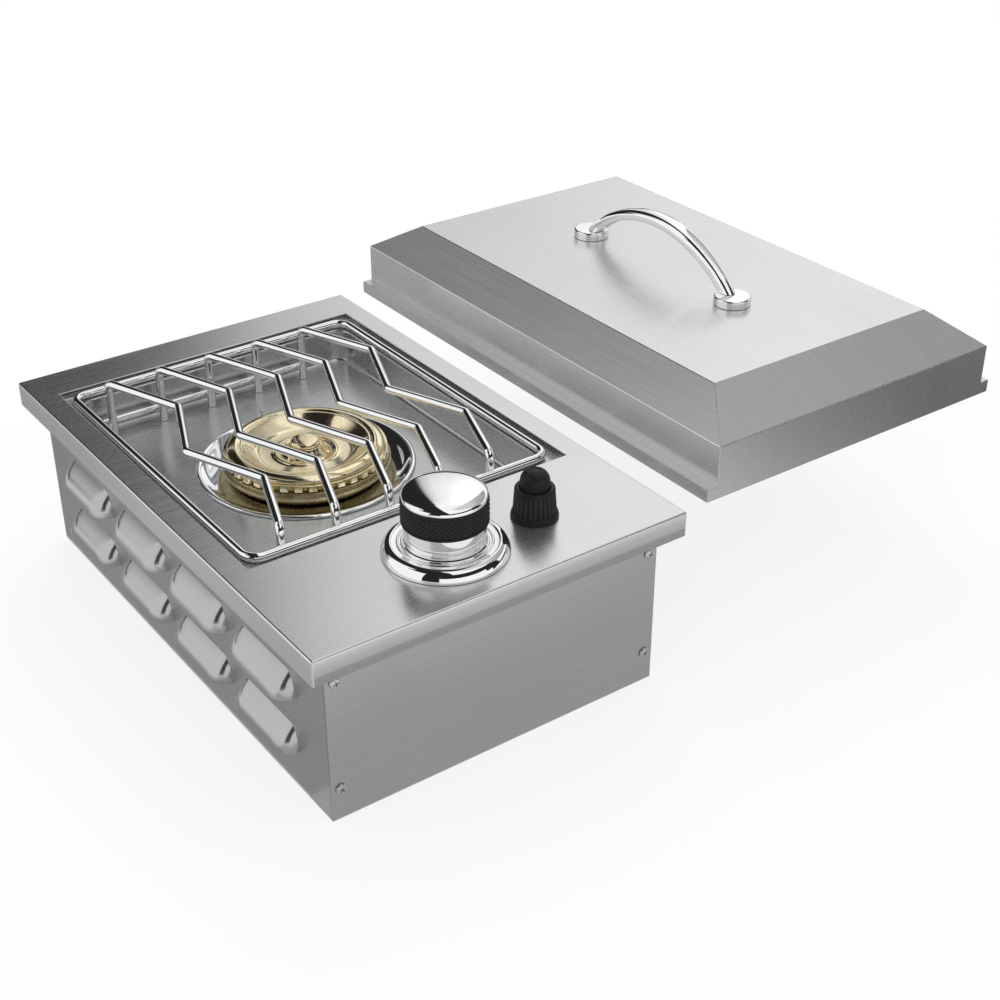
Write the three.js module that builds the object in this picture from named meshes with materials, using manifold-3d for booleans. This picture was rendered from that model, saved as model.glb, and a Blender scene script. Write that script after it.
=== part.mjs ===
// A built-in gas side burner. A sheet-steel box hangs in a counter by the lip of its deck. A pressed
// well in the deck holds the burner under a rod grate. A control knob and a push-button igniter stand
// in front of it, and the loose lid stands on the counter beside it.
// Millimetres. +X is to the right, +Y to the back and +Z up. The origin is the centre of the counter's
// cut-out, in the plane of the counter's top, which is the underside of the deck's lip.
import * as THREE from 'three';
import { mergeVertices } from 'three/addons/utils/BufferGeometryUtils.js';
import Module from 'manifold-3d';

const wasm = await Module();
wasm.setup();

// Clearances shared by all pieces
const seat = 0.3; // left between two pieces that touch
const overrun = 6; // by which a cutter passes what it cuts
const grain = 0.0001; // to which the corners are rounded

// Deck
const deckWidth = 320;
const deckDepth = 494;
const lipHeight = 20.4;
const deckSheet = 1.2;
const lipReturn = 11; // the lip's hem, turned in under the deck
const openingSideMargin = 20;
const openingRearMargin = 41.5;
const openingFrontMargin = 121.1;
const openingWidth = deckWidth - 2 * openingSideMargin;
const openingDepth = deckDepth - openingRearMargin - openingFrontMargin;

// Well pressed into the deck's opening
const wellSheet = 1;
const wellRim = 2.2; // under the deck, beyond the opening
const ledgeDrop = 6.8; // from the deck's top to the ledge
const ledgeSide = 12;
const ledgeRear = 12;
const ledgeFront = 15;
const wellDrop = 37; // from the deck's top to the well's floor
const wellCornerRadius = 14;

// Drip bowl
const bowlRimRadius = 90;
const bowlRimHeight = 2.4;
const bowlWallRadius = 83;
const bowlPlay = 1; // between the bowl's wall and the well's hole
const wellHoleRadius = bowlWallRadius + bowlPlay;
const bowlSlopeRadius = 62;
const bowlNeckRoom = 2; // round the burner's neck
const bowlSheet = 1;
const bowlDrop = 6.5;

// Box under the deck
const boxSheet = 1.2;
const boxSideInset = 15.7; // of the box's walls from the deck's edges
const boxFrontInset = 14.2;
const boxRearInset = 15.6;
const boxHalfWidth = deckWidth / 2 - boxSideInset;
const boxFront = deckDepth / 2 - boxFrontInset;
const boxRear = deckDepth / 2 - boxRearInset;
const boxDrop = 131.9; // from the counter's top to the box's bottom
const boxFlange = 14;
const trayFlange = 12;
const bottomSlotWidth = 8;
const bottomSlotLength = 60;
const bottomSlotPitch = 42;
const bottomSlotCount = 5;

// Louvres
const louvreHeight = 21;
const louvreProud = 4;
const louvreCount = 4;
const louvreEndRoom = 42.15; // from the box's ends to the row
const louvreGap = 17.3; // between two louvres of a row
const louvreRow = boxFront + boxRear - 2 * louvreEndRoom;
const louvreLength = (louvreRow - (louvreCount - 1) * louvreGap) / louvreCount;
const louvrePitch = louvreLength + louvreGap;
const louvreUpperDrop = 51; // from the counter's top to the upper row's lips
const louvreLowerRise = 33.6; // from the box's bottom to the lower row's lips
const louvreRowPitch = boxDrop - louvreLowerRise - louvreUpperDrop;
const louvreSheet = 1;
// Up a louvre's section from its lip, how far out and how far up it stands
const louvreSectionShares = [[1, 0], [0.9, 0.25], [0.72, 0.5], [0.43, 0.75], [0.22, 0.89], [0, 1]];
// Along a louvre, where its sections stand and how much of its height and depth they keep
const louvrePlaceShares = [0, 0.03, 0.11, 0.89, 0.97, 1];
const louvreSizeShares = [0.35, 0.72, 1, 1, 0.72, 0.35];

// Screws of the front panel
const screwInset = 7.8; // from the box's sides
const screwHalfSpacing = boxHalfWidth - screwInset;
const screwUpperDrop = 14.3;
const screwLowerRise = 26.7; // from the box's bottom
const screwRowPitch = boxDrop - screwLowerRise - screwUpperDrop;
const screwHeadRadius = 4.2;
const screwHeadHeight = 2.6;
const screwShankRadius = 2;
const screwLength = 9;
// Of the radius and the height of a low dome, such as a screw's head
const domeShares = [[1, 0], [1, 0.38], [0.76, 0.86], [0, 1]];

// Control knob
const knobX = -14.5;
const knobSetBack = 61.1; // of its axis from the deck's front edge
const knobY = knobSetBack - deckDepth / 2;
const bezelHeight = 9.4;
const bezelSlope = 11.5;
const bezelRidge = 2.8;
// Of the way from the bezel's rim to its ridge, and of its height
const bezelSlopeShares = [[0, 0.26], [0.2, 0.62], [0.5, 0.88], [1, 1]];
const bezelFloor = 4.6;
const bezelRoom = 2.3; // round the skirt
const skirtRadius = 29.9;
const bezelSunkRadius = skirtRadius + bezelRoom;
const bezelRidgeRadius = bezelSunkRadius + bezelRidge;
const bezelRadius = bezelRidgeRadius + bezelSlope;
const skirtLift = 9.6; // of its lower edge over the deck
const skirtWall = 2;
const gripLift = 25.4;
const gripRadius = 31.8;
const gripHeight = 19.2;
const capInset = 0.8; // of the cap's edge from the grip's
const gripWall = 8;
const gripChamfer = 0.7;
const capRadius = gripRadius - capInset;
const capRim = 1.6;
const capDome = 6.6;

// Valve under the knob
const stemRadius = 4;
const stemTop = 36; // over the deck
const stemFoot = 34; // under the deck
const stemCollarRadius = 7.4;
const stemCollarHeight = 2;
const knobTravel = 3;
const valveRadius = 15;
const valveWall = 5.6;
const valveTop = 8.6; // under the deck
const valveRoof = 5; // over the spring's chamber
const valveSpringRadius = 6; // of its wire's centreline
const valveSpringTurns = 4;
const springWire = 0.6; // half its thickness
const tubeBelowWell = 25; // of the outlet and the mixing tube, under the well's floor
const portLevel = wellDrop + tubeBelowWell; // under the deck
const valveBelowPort = 14;
const valveDrop = portLevel + valveBelowPort; // from the deck to the valve's foot
const valveNeckRadius = 9;
const plugHeight = 40;
const plugTop = 28; // under the deck
const plugBore = 4.4;
const plugHole = 2.6;
const neckNutRadius = 13;
const neckNutHeight = 3.6;
const bracketHalfWidth = 32;
const bracketDepth = 44;
const bracketFoot = 14;
const bracketSheet = 1.5;
const portRadius = 8;
const outletLength = 24; // from the knob's axis
const inletLength = 8;

// Gas supply
const injectorRadius = 5;
const injectorLength = 14;
const injectorTipRadius = 2.2;
const injectorConeShare = 0.4; // of the injector's length
const pipeRiseShare = 0.38; // of the way from the valve's foot down to the box's bottom
const valveReach = valveDrop + inletLength;
const supplyLevel = valveReach + pipeRiseShare * (lipHeight + boxDrop - valveReach); // under the deck
const pipeRadius = 5;
const pipeBore = 3.9;
const pipeBend = 16;
const inletInset = 52.3; // from the box's side
const inletX = boxHalfWidth - inletInset;
const fittingRadius = 9.6;
const fittingHexRadius = 13;
const fittingHexLength = 5;
const nippleRadius = 8;
const nippleBore = 4;
const nippleLength = 9;
const fittingInnerLength = 18;
const inletNutRadius = 14;
const inletNutHeight = 6;

// Burner
const neckRadius = 29;
const bowlHoleRadius = neckRadius + bowlNeckRoom;
const neckSump = 20; // of the base's foot, under the mixing tube's axis
const neckDrop = portLevel + neckSump; // from the deck to the base's foot
const baseWall = 3;
const chamberRadius = 69.5;
const chamberSink = 3; // of the chamber's outer edge, under the well's floor
const chamberFoot = wellDrop + chamberSink; // under the deck
const chamberStand = 10.4; // of the chamber's top, over the well's floor
const chamberTop = wellDrop - chamberStand; // under the deck
const ringStep = 2.5;
const ringWall = 9;
const ringRadius = chamberRadius - ringStep;
const ringInner = ringRadius - ringWall;
const ringHeight = 5.6;
const portCount = 36;
const portWidth = 2.2;
const portHeight = 3.2;
const portDepth = 4;
const crownStep = 3;
const crownRadius = ringRadius - crownStep;
const crownSheet = 3;
const crownRise = 5;
const crownLip = 17;
const dishRadius = crownRadius - crownLip;
const dishDrop = 8;
// Of the way from the crown's edge in to its dish, and of its rise
const crownLipShares = [[0, 0.2], [0.18, 0.7], [0.42, 1], [0.8, 0.6], [1.15, -0.3]];
const hubRise = 2.6;
const hubLedge = 0.9;
const buttonRadius = 12.3;
const hubRadius = buttonRadius + hubLedge;
const buttonHeight = 4.2;

// Mixing tube with its air shutter
const tubeRadius = 12;
const tubeWall = 1.2;
const tubeReach = 4; // into the burner's neck
const shutterWall = 1.4;
const shutterLength = 22;
const airPortLength = 12;
const airPortWidth = 9;
const injectorGap = 1; // from the tube's mouth plane to the injector's tip
const strapWidth = 32;
const strapSheet = 1.5;
const strapFoot = 12;
const strapHalfBase = 44;
const strapRoom = 7; // from the well's hole to the strap's feet
const strapHalfTop = wellHoleRadius + strapRoom;

// Igniter
const igniterX = 65.4;
const igniterSetBack = 62.2; // of its axis from the deck's front edge
const igniterY = igniterSetBack - deckDepth / 2;
const collarFlareRadius = 18;
const collarFlareHeight = 5;
const collarRimHeight = 2;
const collarRadius = 16.6;
const collarStep = 0.4; // of the flare, round the fluted part's foot
const collarTopShare = 0.93; // of the collar's width, at its top
const collarHeight = 24.8;
const collarFlutes = 22;
const collarFluteDepth = 0.8;
// Of the way round from one flute to the next, and of the flutes' depth
const collarFluteShares = [[0, 0], [0.5, 0], [0.6, 1], [0.9, 1]];
const pushRadius = 11.3;
const pushHeight = 26.4;
const pushRoundness = 8;
const pushTopRadius = 6.5;
const pushStemRadius = 4.5;
const pushStemLength = 6;
const pushTravel = 3;
const pushSpringRadius = 6; // of its wire's centreline
const pushSpringTurns = 6;
const tubeNeckRadius = 10.6;
const tubeNeckTop = 8; // over the deck
const pushFoot = tubeNeckTop + pushTravel + 2 * seat; // over the deck
const igniterWall = 6;
const igniterShoulder = 22; // under the deck
const igniterDrop = 62; // from the deck to the igniter's foot
const igniterFloor = 3;
const batteryRadius = 7.1;
const batteryPlay = 0.9;
const igniterBore = batteryRadius + batteryPlay;
const igniterRadius = igniterBore + igniterWall;
const batteryLength = 50.5;
const nippleOfBatteryRadius = 2.6;
const nippleOfBatteryHeight = 1;
const igniterNutRadius = 16;
const igniterNutHeight = 5;
const leadRadius = 1.5;
const leadBend = 12;
const leadDropShare = 0.7; // of the way from the igniter's foot down to the gas pipe
const leadLevel = igniterDrop + leadDropShare * (supplyLevel - igniterDrop); // under the deck
const leadSidestep = 10.6; // of its run to the rear, from the igniter's axis

// Electrode
const sparkGap = 6.5; // from the chamber's edge to the electrode's axis
const electrodeReach = chamberRadius + sparkGap; // from the burner's axis
const ceramicRadius = 3.4;
const ceramicCollarRadius = 5.4;
const ceramicCollarHeight = 6;
const ceramicFoot = 58; // under the deck
const ceramicTop = 25;
const pinRadius = 1;
const pinRise = 3.4;
const pinHook = 4;

// Grate
const frameRadius = 3.2;
const frameSideGap = 7.5; // from the opening's edge to the rod's centre
const frameRearGap = 7;
const frameFrontGap = 12;
const frameCorner = 12;
const fingerRadius = 3;
const fingerLift = 12; // of its centre over the deck
const fingerCount = 5;
const fingerSideRoom = 48; // from the opening's sides to the outer fingers' centrelines
const fingerPitch = (openingWidth - 2 * fingerSideRoom) / (fingerCount - 1);
const fingerSwing = 15.7;
const fingerEndSwing = 10.5;
const fingerBend = 7;
const fingerKneeBend = 8;
const legSetBack = 26; // from the opening's rear edge to the legs
const fingerCornerShares = [0.259, 0.511, 0.762]; // of a finger's length, from its knee
const barDrop = 27; // from the deck to the lower bar's centre
const barOverhang = 5;
const rodSides = 8;
const bendSteps = 3;

// Lid
const lidSideRoom = 2.7; // round the deck, when the lid is on
const lidEndRoom = 3.55;
const lidWidth = deckWidth + 2 * lidSideRoom;
const lidDepth = deckDepth + 2 * lidEndRoom;
const lidSheet = 1;
const lidStepWidth = 9.6;
const lidStepHeight = 11;
const lidSkirtTop = 45.5;
const lidHeight = 71.9;
const lidSideRun = 33.1;
const lidFrontRun = 45.6;
const lidRearRun = 42.8;
const lidGap = 44.4; // from the deck's edge to the lid
const lidShift = 29.6; // of its centre, behind the origin

// Lid handle
const handleX = -4.4; // from the lid's centre
const handleY = -3.1;
const padSpacing = 193.5;
const padRadius = 16;
const padHeight = 7.5;
const padChamfer = 1;
const handleRise = 33.4; // of its underside over the pads
const handleInset = 12.5; // from the pads' middles to the ends of its underside
const handleWidth = 16;
const handleThick = 8.2;
const handleCrown = 1.6;
// Across the handle's top, of its width and of its crown
const handleTopShares = [[0.5, 0], [0.25, 0.8], [0, 1], [-0.25, 0.8], [-0.5, 0]];
const handleTipWidthShare = 0.7; // of the handle's width, at its tips
const handleSteps = 20;
const handleScrewRadius = 2.5;
const handleScrewHead = 5;
const handleScrewHeadHeight = 3;
const handleScrewReach = 5; // into the pad

// Facets round a turned piece
const fineSides = 32;
const plainSides = 20;
const smallSides = 12;
const hexSides = 6;
const arcSteps = 4;

// Levels and places that follow
const deckTop = lipHeight;
const openingRear = deckDepth / 2 - openingRearMargin;
const openingFront = openingRear - openingDepth;
const burnerY = (openingRear + openingFront) / 2;
const ledgeTop = deckTop - ledgeDrop;
const floorTop = deckTop - wellDrop;
const floorUnder = floorTop - wellSheet;
const deckUnder = deckTop - deckSheet;
const boxBottom = -boxDrop;
const lidX = deckWidth / 2 + lidGap + lidWidth / 2;
const tubeLevel = deckTop - portLevel;
const pipeLevel = deckTop - supplyLevel;

const finish = (color, roughness, metalness) => (
  new THREE.MeshStandardMaterial({ color, roughness, metalness })
);
const brushed = finish(0xa9adb0, 0.34, 1);
const polished = finish(0xe4e6e8, 0.08, 1);
const zinc = finish(0x9b9d9c, 0.5, 1);
const springSteel = finish(0x77797c, 0.35, 1);
const brass = finish(0xcfae68, 0.25, 1);
const aluminium = finish(0xb4b5b3, 0.45, 1);
const blackRubber = finish(0x1d1e20, 0.7, 0);
const blackPlastic = finish(0x232426, 0.5, 0);
const ceramic = finish(0xf0ece2, 0.4, 0);
const batteryWrap = finish(0x4c5560, 0.4, 0.3);

// A geometry as a solid, with its shared corners merged and its faces turned outwards
function solid(geometry) {
  const bare = geometry.clone();
  bare.deleteAttribute('normal');
  bare.deleteAttribute('uv');
  const merged = mergeVertices(bare);
  const vertProperties = merged.attributes.position.array.map((value) => Math.round(value / grain) * grain);
  const faces = [];
  for (let i = 0; i < merged.index.count; i += 3) {
    const [a, b, c] = [0, 1, 2].map((k) => merged.index.getX(i + k));
    if (a !== b && b !== c && c !== a) {
      faces.push(a, b, c);
    }
  }
  const triVerts = new Uint32Array(enclosed(vertProperties, faces) < 0 ? faces.reverse() : faces);
  return new wasm.Manifold(new wasm.Mesh({ numProp: 3, vertProperties, triVerts }));
}

// Six times the volume that the faces enclose, below zero when they point inwards
function enclosed(places, faces) {
  const corner = (k) => new THREE.Vector3().fromArray(places, 3 * faces[k]);
  let sum = 0;
  for (let i = 0; i < faces.length; i += 3) {
    sum += corner(i).dot(corner(i + 1).cross(corner(i + 2)));
  }
  return sum;
}

function shell(body) {
  const mesh = body.getMesh();
  const geometry = new THREE.BufferGeometry();
  geometry.setAttribute('position', new THREE.BufferAttribute(new Float32Array(mesh.vertProperties), 3));
  geometry.setIndex(new THREE.BufferAttribute(new Uint32Array(mesh.triVerts), 1));
  geometry.computeVertexNormals();
  return geometry;
}

const fuse = (...pieces) => shell(pieces.map(solid).reduce((sum, piece) => sum.add(piece)));
const cut = (base, ...tools) => (
  shell(tools.map(solid).reduce((rest, tool) => rest.subtract(tool), solid(base)))
);
const common = (one, other) => shell(solid(one).intersect(solid(other)));

// A box between two corners
function block(x0, x1, y0, y1, z0, z1) {
  const geometry = new THREE.BoxGeometry(x1 - x0, y1 - y0, z1 - z0);
  return geometry.translate((x0 + x1) / 2, (y0 + y1) / 2, (z0 + z1) / 2);
}

// A box about the middle of a plan, from one level to another
const centred = (width, depth, z0, z1, x = 0, y = 0) => (
  block(x - width / 2, x + width / 2, y - depth / 2, y + depth / 2, z0, z1)
);

function drum(radius, z0, z1, sides = plainSides) {
  const geometry = new THREE.CylinderGeometry(radius, radius, z1 - z0, sides);
  return geometry.rotateX(Math.PI / 2).translate(0, 0, (z0 + z1) / 2);
}

// A profile of radius and level, turned about the vertical axis
function turned(profile, sides = fineSides) {
  const points = profile.map(([radius, level]) => new THREE.Vector2(radius, level));
  return new THREE.LatheGeometry(points, sides).rotateX(Math.PI / 2);
}

const ring = (inner, outer, z0, z1, sides = plainSides) => (
  turned([[inner, z0], [outer, z0], [outer, z1], [inner, z1], [inner, z0]], sides)
);

// A hexagonal nut with a round bore
const hexNut = (bore, radius, z0, z1) => (
  cut(drum(radius, z0, z1, hexSides), drum(bore, z0 - overrun, z1 + overrun))
);

// The profile of a low dome standing on a level
const dome = (radius, foot, height) => domeShares.map(([out, up]) => [out * radius, foot + up * height]);

const outline = (points) => new THREE.Shape(points.map(([a, b]) => new THREE.Vector2(a, b)));

function upright(shape, z0, z1, curveSegments = 4) {
  const geometry = new THREE.ExtrudeGeometry(shape, { depth: z1 - z0, bevelEnabled: false, curveSegments });
  return geometry.translate(0, 0, z0);
}

// A section in X and Z, drawn out along Y
const alongY = (shape, y0, y1) => upright(shape, 0, y1 - y0).rotateX(Math.PI / 2).translate(0, y1, 0);

// A section in Y and Z, drawn out along X
const alongX = (shape, x0, x1) => (
  upright(shape, 0, x1 - x0).rotateX(Math.PI / 2).rotateZ(Math.PI / 2).translate(x0, 0, 0)
);

// A quarter of an ellipse, from its foot to its top
const quarterArc = (reach, rise) => Array.from({ length: arcSteps + 1 }, (_, i) => {
  const angle = (i / arcSteps) * (Math.PI / 2);
  return [i < arcSteps ? reach * Math.cos(angle) : 0, rise * Math.sin(angle)];
});

function roundedRectangle(x0, x1, y0, y1, radius) {
  const shape = new THREE.Shape();
  shape.absarc(x1 - radius, y1 - radius, radius, 0, Math.PI / 2);
  shape.absarc(x0 + radius, y1 - radius, radius, Math.PI / 2, Math.PI);
  shape.absarc(x0 + radius, y0 + radius, radius, Math.PI, Math.PI * 1.5);
  shape.absarc(x1 - radius, y0 + radius, radius, Math.PI * 1.5, Math.PI * 2);
  return shape;
}

// A line moved to its left by a distance, with mitred corners
function shifted(line, distance) {
  const normals = line.slice(1).map(([x, y], i) => {
    const along = new THREE.Vector2(x - line[i][0], y - line[i][1]).normalize();
    return new THREE.Vector2(-along.y, along.x);
  });
  return line.map(([x, y], i) => {
    const sum = normals[Math.max(i - 1, 0)].clone().add(normals[Math.min(i, normals.length - 1)]);
    sum.multiplyScalar((2 * distance) / sum.lengthSq());
    return [x + sum.x, y + sum.y];
  });
}

// The section of a bent sheet, from one of its faces
const bentSheet = (line, sheet) => outline([...line, ...shifted(line, sheet).reverse()]);

// The centreline of a bent rod: straight runs joined by bends, with points only at its ends and bends
class BentLine extends THREE.Curve {
  constructor(corners, bendSizes) {
    super();
    const places = corners.map((corner) => new THREE.Vector3(...corner));
    this.points = [places[0]];
    for (let i = 1; i < places.length - 1; i += 1) {
      const size = Array.isArray(bendSizes) ? bendSizes[i - 1] : bendSizes;
      this.points.push(...BentLine.bend(places[i - 1], places[i], places[i + 1], size));
    }
    this.points.push(places[places.length - 1]);
  }

  static bend(before, corner, after, size) {
    const start = before.clone().sub(corner).setLength(size).add(corner);
    const end = after.clone().sub(corner).setLength(size).add(corner);
    return new THREE.QuadraticBezierCurve3(start, corner, end).getPoints(bendSteps);
  }

  getPoint(share) {
    const place = share * (this.points.length - 1);
    const i = Math.min(Math.floor(place), this.points.length - 2);
    return this.points[i].clone().lerp(this.points[i + 1], place - i);
  }

  getPointAt(share) {
    return this.getPoint(share);
  }

  getTangentAt(share) {
    const last = this.points.length - 1;
    const i = Math.round(share * last);
    const step = (k) => this.points[k + 1].clone().sub(this.points[k]).normalize();
    return step(Math.max(i - 1, 0)).add(step(Math.min(i, last - 1))).normalize();
  }
}

const circle = (radius, sides) => outline(Array.from({ length: sides }, (_, i) => {
  const angle = ((i + 0.5) / sides) * Math.PI * 2;
  return [radius * Math.cos(angle), radius * Math.sin(angle)];
}));

// A bent rod, or a pipe when it has a bore
function rod(corners, radius, bendSizes, { sides = rodSides, bore = 0 } = {}) {
  const path = new BentLine(corners, bendSizes);
  const section = circle(radius, sides);
  if (bore) {
    section.holes.push(circle(bore, sides));
  }
  return new THREE.ExtrudeGeometry(section, { steps: path.points.length - 1, extrudePath: path });
}

// The centreline of a coil about the vertical axis
class CoilLine extends THREE.Curve {
  constructor(radius, z0, z1, turns) {
    super();
    Object.assign(this, { radius, z0, z1, turns });
  }

  getPoint(share) {
    const angle = share * this.turns * Math.PI * 2;
    const level = THREE.MathUtils.lerp(this.z0, this.z1, share);
    return new THREE.Vector3(this.radius * Math.cos(angle), this.radius * Math.sin(angle), level);
  }
}

// A coil spring of round wire between two levels
function coil(radius, foot, top, turns) {
  const path = new CoilLine(radius, foot + springWire, top - springWire, turns);
  const section = circle(springWire, hexSides);
  return new THREE.ExtrudeGeometry(section, { steps: turns * smallSides, extrudePath: path });
}

// The model

const sideBurner = new THREE.Group();

function groupAt(parent, x, y, z) {
  const group = new THREE.Group();
  group.position.set(x, y, z);
  parent.add(group);
  return group;
}

function addPiece(parent, name, geometry, material) {
  const mesh = new THREE.Mesh(shell(solid(geometry)), material);
  mesh.name = name;
  parent.add(mesh);
  return mesh;
}

// Deck and well

function deckPanel() {
  const inside = [deckWidth - 2 * deckSheet, deckDepth - 2 * deckSheet];
  const mouth = [deckWidth - 2 * lipReturn, deckDepth - 2 * lipReturn];
  return cut(
    centred(deckWidth, deckDepth, 0, deckTop),
    centred(...inside, deckSheet, deckUnder),
    centred(...mouth, -overrun, deckSheet + overrun),
    centred(openingWidth, openingDepth, -overrun, deckTop + overrun, 0, burnerY),
    drum(valveNeckRadius + seat, 0, deckTop + overrun).translate(knobX, knobY, 0),
    drum(tubeNeckRadius + seat, 0, deckTop + overrun).translate(igniterX, igniterY, 0),
  );
}

// The well's pocket in plan, or the same grown by its sheet
function pocket(grown, z0, z1) {
  const half = openingWidth / 2 - ledgeSide + grown;
  const front = openingFront + ledgeFront - grown;
  const rear = openingRear - ledgeRear + grown;
  return upright(roundedRectangle(-half, half, front, rear, wellCornerRadius + grown), z0, z1);
}

function burnerWell() {
  const rimTop = deckUnder - seat;
  const recess = (grown, z0, z1) => (
    centred(openingWidth + 2 * grown, openingDepth + 2 * grown, z0, z1, 0, burnerY)
  );
  const pressing = fuse(
    recess(wellRim, rimTop - wellSheet, rimTop),
    recess(wellSheet, ledgeTop - wellSheet, rimTop),
    pocket(wellSheet, floorUnder, ledgeTop - wellSheet / 2),
  );
  return cut(
    pressing,
    recess(0, ledgeTop, deckTop),
    pocket(0, floorTop, deckTop),
    drum(wellHoleRadius, floorUnder - overrun, deckTop, fineSides).translate(0, burnerY, 0),
  );
}

// From here to the crown, levels are counted from the deck's top, about the burner's axis

function dripBowl() {
  const rimFoot = seat - wellDrop;
  const slopeFoot = rimFoot - bowlDrop;
  const bowl = turned([
    [bowlHoleRadius, slopeFoot - bowlSheet],
    [bowlSlopeRadius, slopeFoot + bowlSheet],
    [bowlWallRadius, rimFoot - bowlSheet],
    [bowlWallRadius, rimFoot],
    [bowlRimRadius, rimFoot],
    [bowlRimRadius, rimFoot + bowlRimHeight / 2],
    [bowlRimRadius - bowlSheet, rimFoot + bowlRimHeight],
    [bowlRimRadius - 3 * bowlSheet, rimFoot + bowlRimHeight],
    [bowlWallRadius - bowlSheet, rimFoot + bowlSheet],
    [bowlSlopeRadius, slopeFoot + 2 * bowlSheet],
    [bowlHoleRadius, slopeFoot],
    [bowlHoleRadius, slopeFoot - bowlSheet],
  ]);
  const electrodeHole = drum(ceramicRadius + seat, -wellDrop - 3 * overrun, 0, smallSides)
    .translate(0, electrodeReach, 0);
  return cut(bowl, electrodeHole);
}

function burnerBase() {
  const flare = chamberRadius - baseWall;
  const body = turned([
    [0, -neckDrop],
    [neckRadius, -neckDrop],
    [neckRadius, -chamberFoot - baseWall / 2],
    [flare - baseWall, -chamberFoot],
    [chamberRadius, -(chamberFoot + chamberTop) / 2],
    [chamberRadius, -chamberTop - baseWall],
    [flare + baseWall / 2, -chamberTop],
    [ringInner + baseWall / 2, -chamberTop],
    [ringInner, -chamberFoot + baseWall],
    [neckRadius - baseWall, -chamberFoot + baseWall / 2],
    [neckRadius - baseWall, baseWall - neckDrop],
    [0, baseWall - neckDrop],
  ]);
  const inlet = drum(tubeRadius + seat, 0, neckRadius + overrun).rotateX(Math.PI / 2);
  return cut(body, inlet.translate(knobX, 0, -portLevel));
}

function burnerRing() {
  const foot = seat - chamberTop;
  const slots = Array.from({ length: portCount }, (_, i) => (
    centred(portWidth, 2 * portDepth, foot - overrun, foot + portHeight, 0, ringRadius)
      .rotateZ((i / portCount) * Math.PI * 2)
  ));
  return cut(ring(ringInner, ringRadius, foot, foot + ringHeight, fineSides), ...slots);
}

function burnerCrown() {
  const foot = 2 * seat - chamberTop + ringHeight;
  const dishFloor = foot - dishDrop;
  const slope = crownRadius - ringInner;
  const lipWidth = crownRadius - dishRadius;
  return turned([
    [0, dishFloor],
    [dishRadius - slope, dishFloor],
    [dishRadius + crownSheet, foot - crownSheet],
    [ringInner - seat, foot - crownSheet],
    [ringInner - seat, foot],
    [crownRadius, foot],
    ...crownLipShares.map(([inward, up]) => [crownRadius - inward * lipWidth, foot + up * crownRise]),
    [dishRadius - slope - crownSheet, dishFloor + crownSheet],
    [hubRadius + 2 * crownSheet, dishFloor + crownSheet],
    [hubRadius + crownSheet / 3, foot],
    [hubRadius, foot + hubRise],
    [0, foot + hubRise],
  ]);
}

function centreCap() {
  const foot = 3 * seat - chamberTop + ringHeight + hubRise;
  return turned([[0, foot], ...dome(buttonRadius, foot, buttonHeight)], plainSides);
}

// Box

// A row of louvre bodies on the plane x = 0, standing out towards +X, each drawn by one section
function louvreBody(section, length) {
  const count = louvrePlaceShares.length - 1;
  const geometry = new THREE.ExtrudeGeometry(section, { depth: 1, steps: count, bevelEnabled: false });
  const places = geometry.attributes.position;
  for (let i = 0; i < places.count; i += 1) {
    const station = Math.round(places.getZ(i) * count);
    const size = louvreSizeShares[station];
    const y = (louvrePlaceShares[station] - 0.5) * length;
    places.setXYZ(i, places.getX(i) * size, y, places.getY(i) * size);
  }
  return geometry;
}

function louvreLine(proud, height) {
  return louvreSectionShares.map(([out, up]) => [out * proud, up * height]);
}

function louvreHood() {
  const root = -boxSheet / 2;
  const section = outline([[root, 0], ...louvreLine(louvreProud, louvreHeight), [root, louvreHeight]]);
  return louvreBody(section, louvreLength);
}

function louvreHollow() {
  const line = louvreLine(louvreProud - louvreSheet, louvreHeight - louvreSheet);
  const back = -2 * overrun;
  const section = outline([
    [back, louvreSheet], [0, louvreSheet], [0, -louvreSheet], [louvreProud - louvreSheet, -louvreSheet],
    ...line, [back, louvreHeight - louvreSheet],
  ]);
  return louvreBody(section, louvreLength - 2 * louvreSheet);
}

// The right side panel, with its wall's outer face at x = 0; the left one is its mirror image
function sidePanel(side) {
  const top = deckUnder - seat;
  const front = boxSheet + seat - boxFront;
  const rear = boxRear - boxSheet - seat;
  const section = bentSheet([[0, boxBottom], [0, top - boxSheet], [boxFlange, top - boxSheet]], boxSheet);
  const inner = -boxSheet / 2;
  const places = [];
  for (let i = 0; i < louvreCount; i += 1) {
    const y = (i - (louvreCount - 1) / 2) * louvrePitch;
    places.push([y, -louvreUpperDrop], [y, -louvreUpperDrop - louvreRowPitch]);
  }
  const flangeTop = top - boxFlange;
  const flangeFoot = boxBottom + trayFlange + 2 * boxSheet;
  const wall = fuse(
    alongY(section, front, rear),
    block(-boxFlange, inner, front, front + boxSheet, flangeFoot, flangeTop),
    block(-boxFlange, inner, rear - boxSheet, rear, flangeFoot, flangeTop),
    ...places.map(([y, z]) => louvreHood().translate(0, y, z)),
  );
  const screwHoles = [0, screwRowPitch].map((drop) => (
    drum(screwShankRadius + seat, -overrun, overrun).rotateX(Math.PI / 2)
      .translate(screwHalfSpacing - boxHalfWidth, front, -screwUpperDrop - drop)
  ));
  const panel = cut(wall, ...places.map(([y, z]) => louvreHollow().translate(0, y, z)), ...screwHoles);
  return panel.scale(side, 1, 1).translate(side * boxHalfWidth, 0, 0);
}

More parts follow.
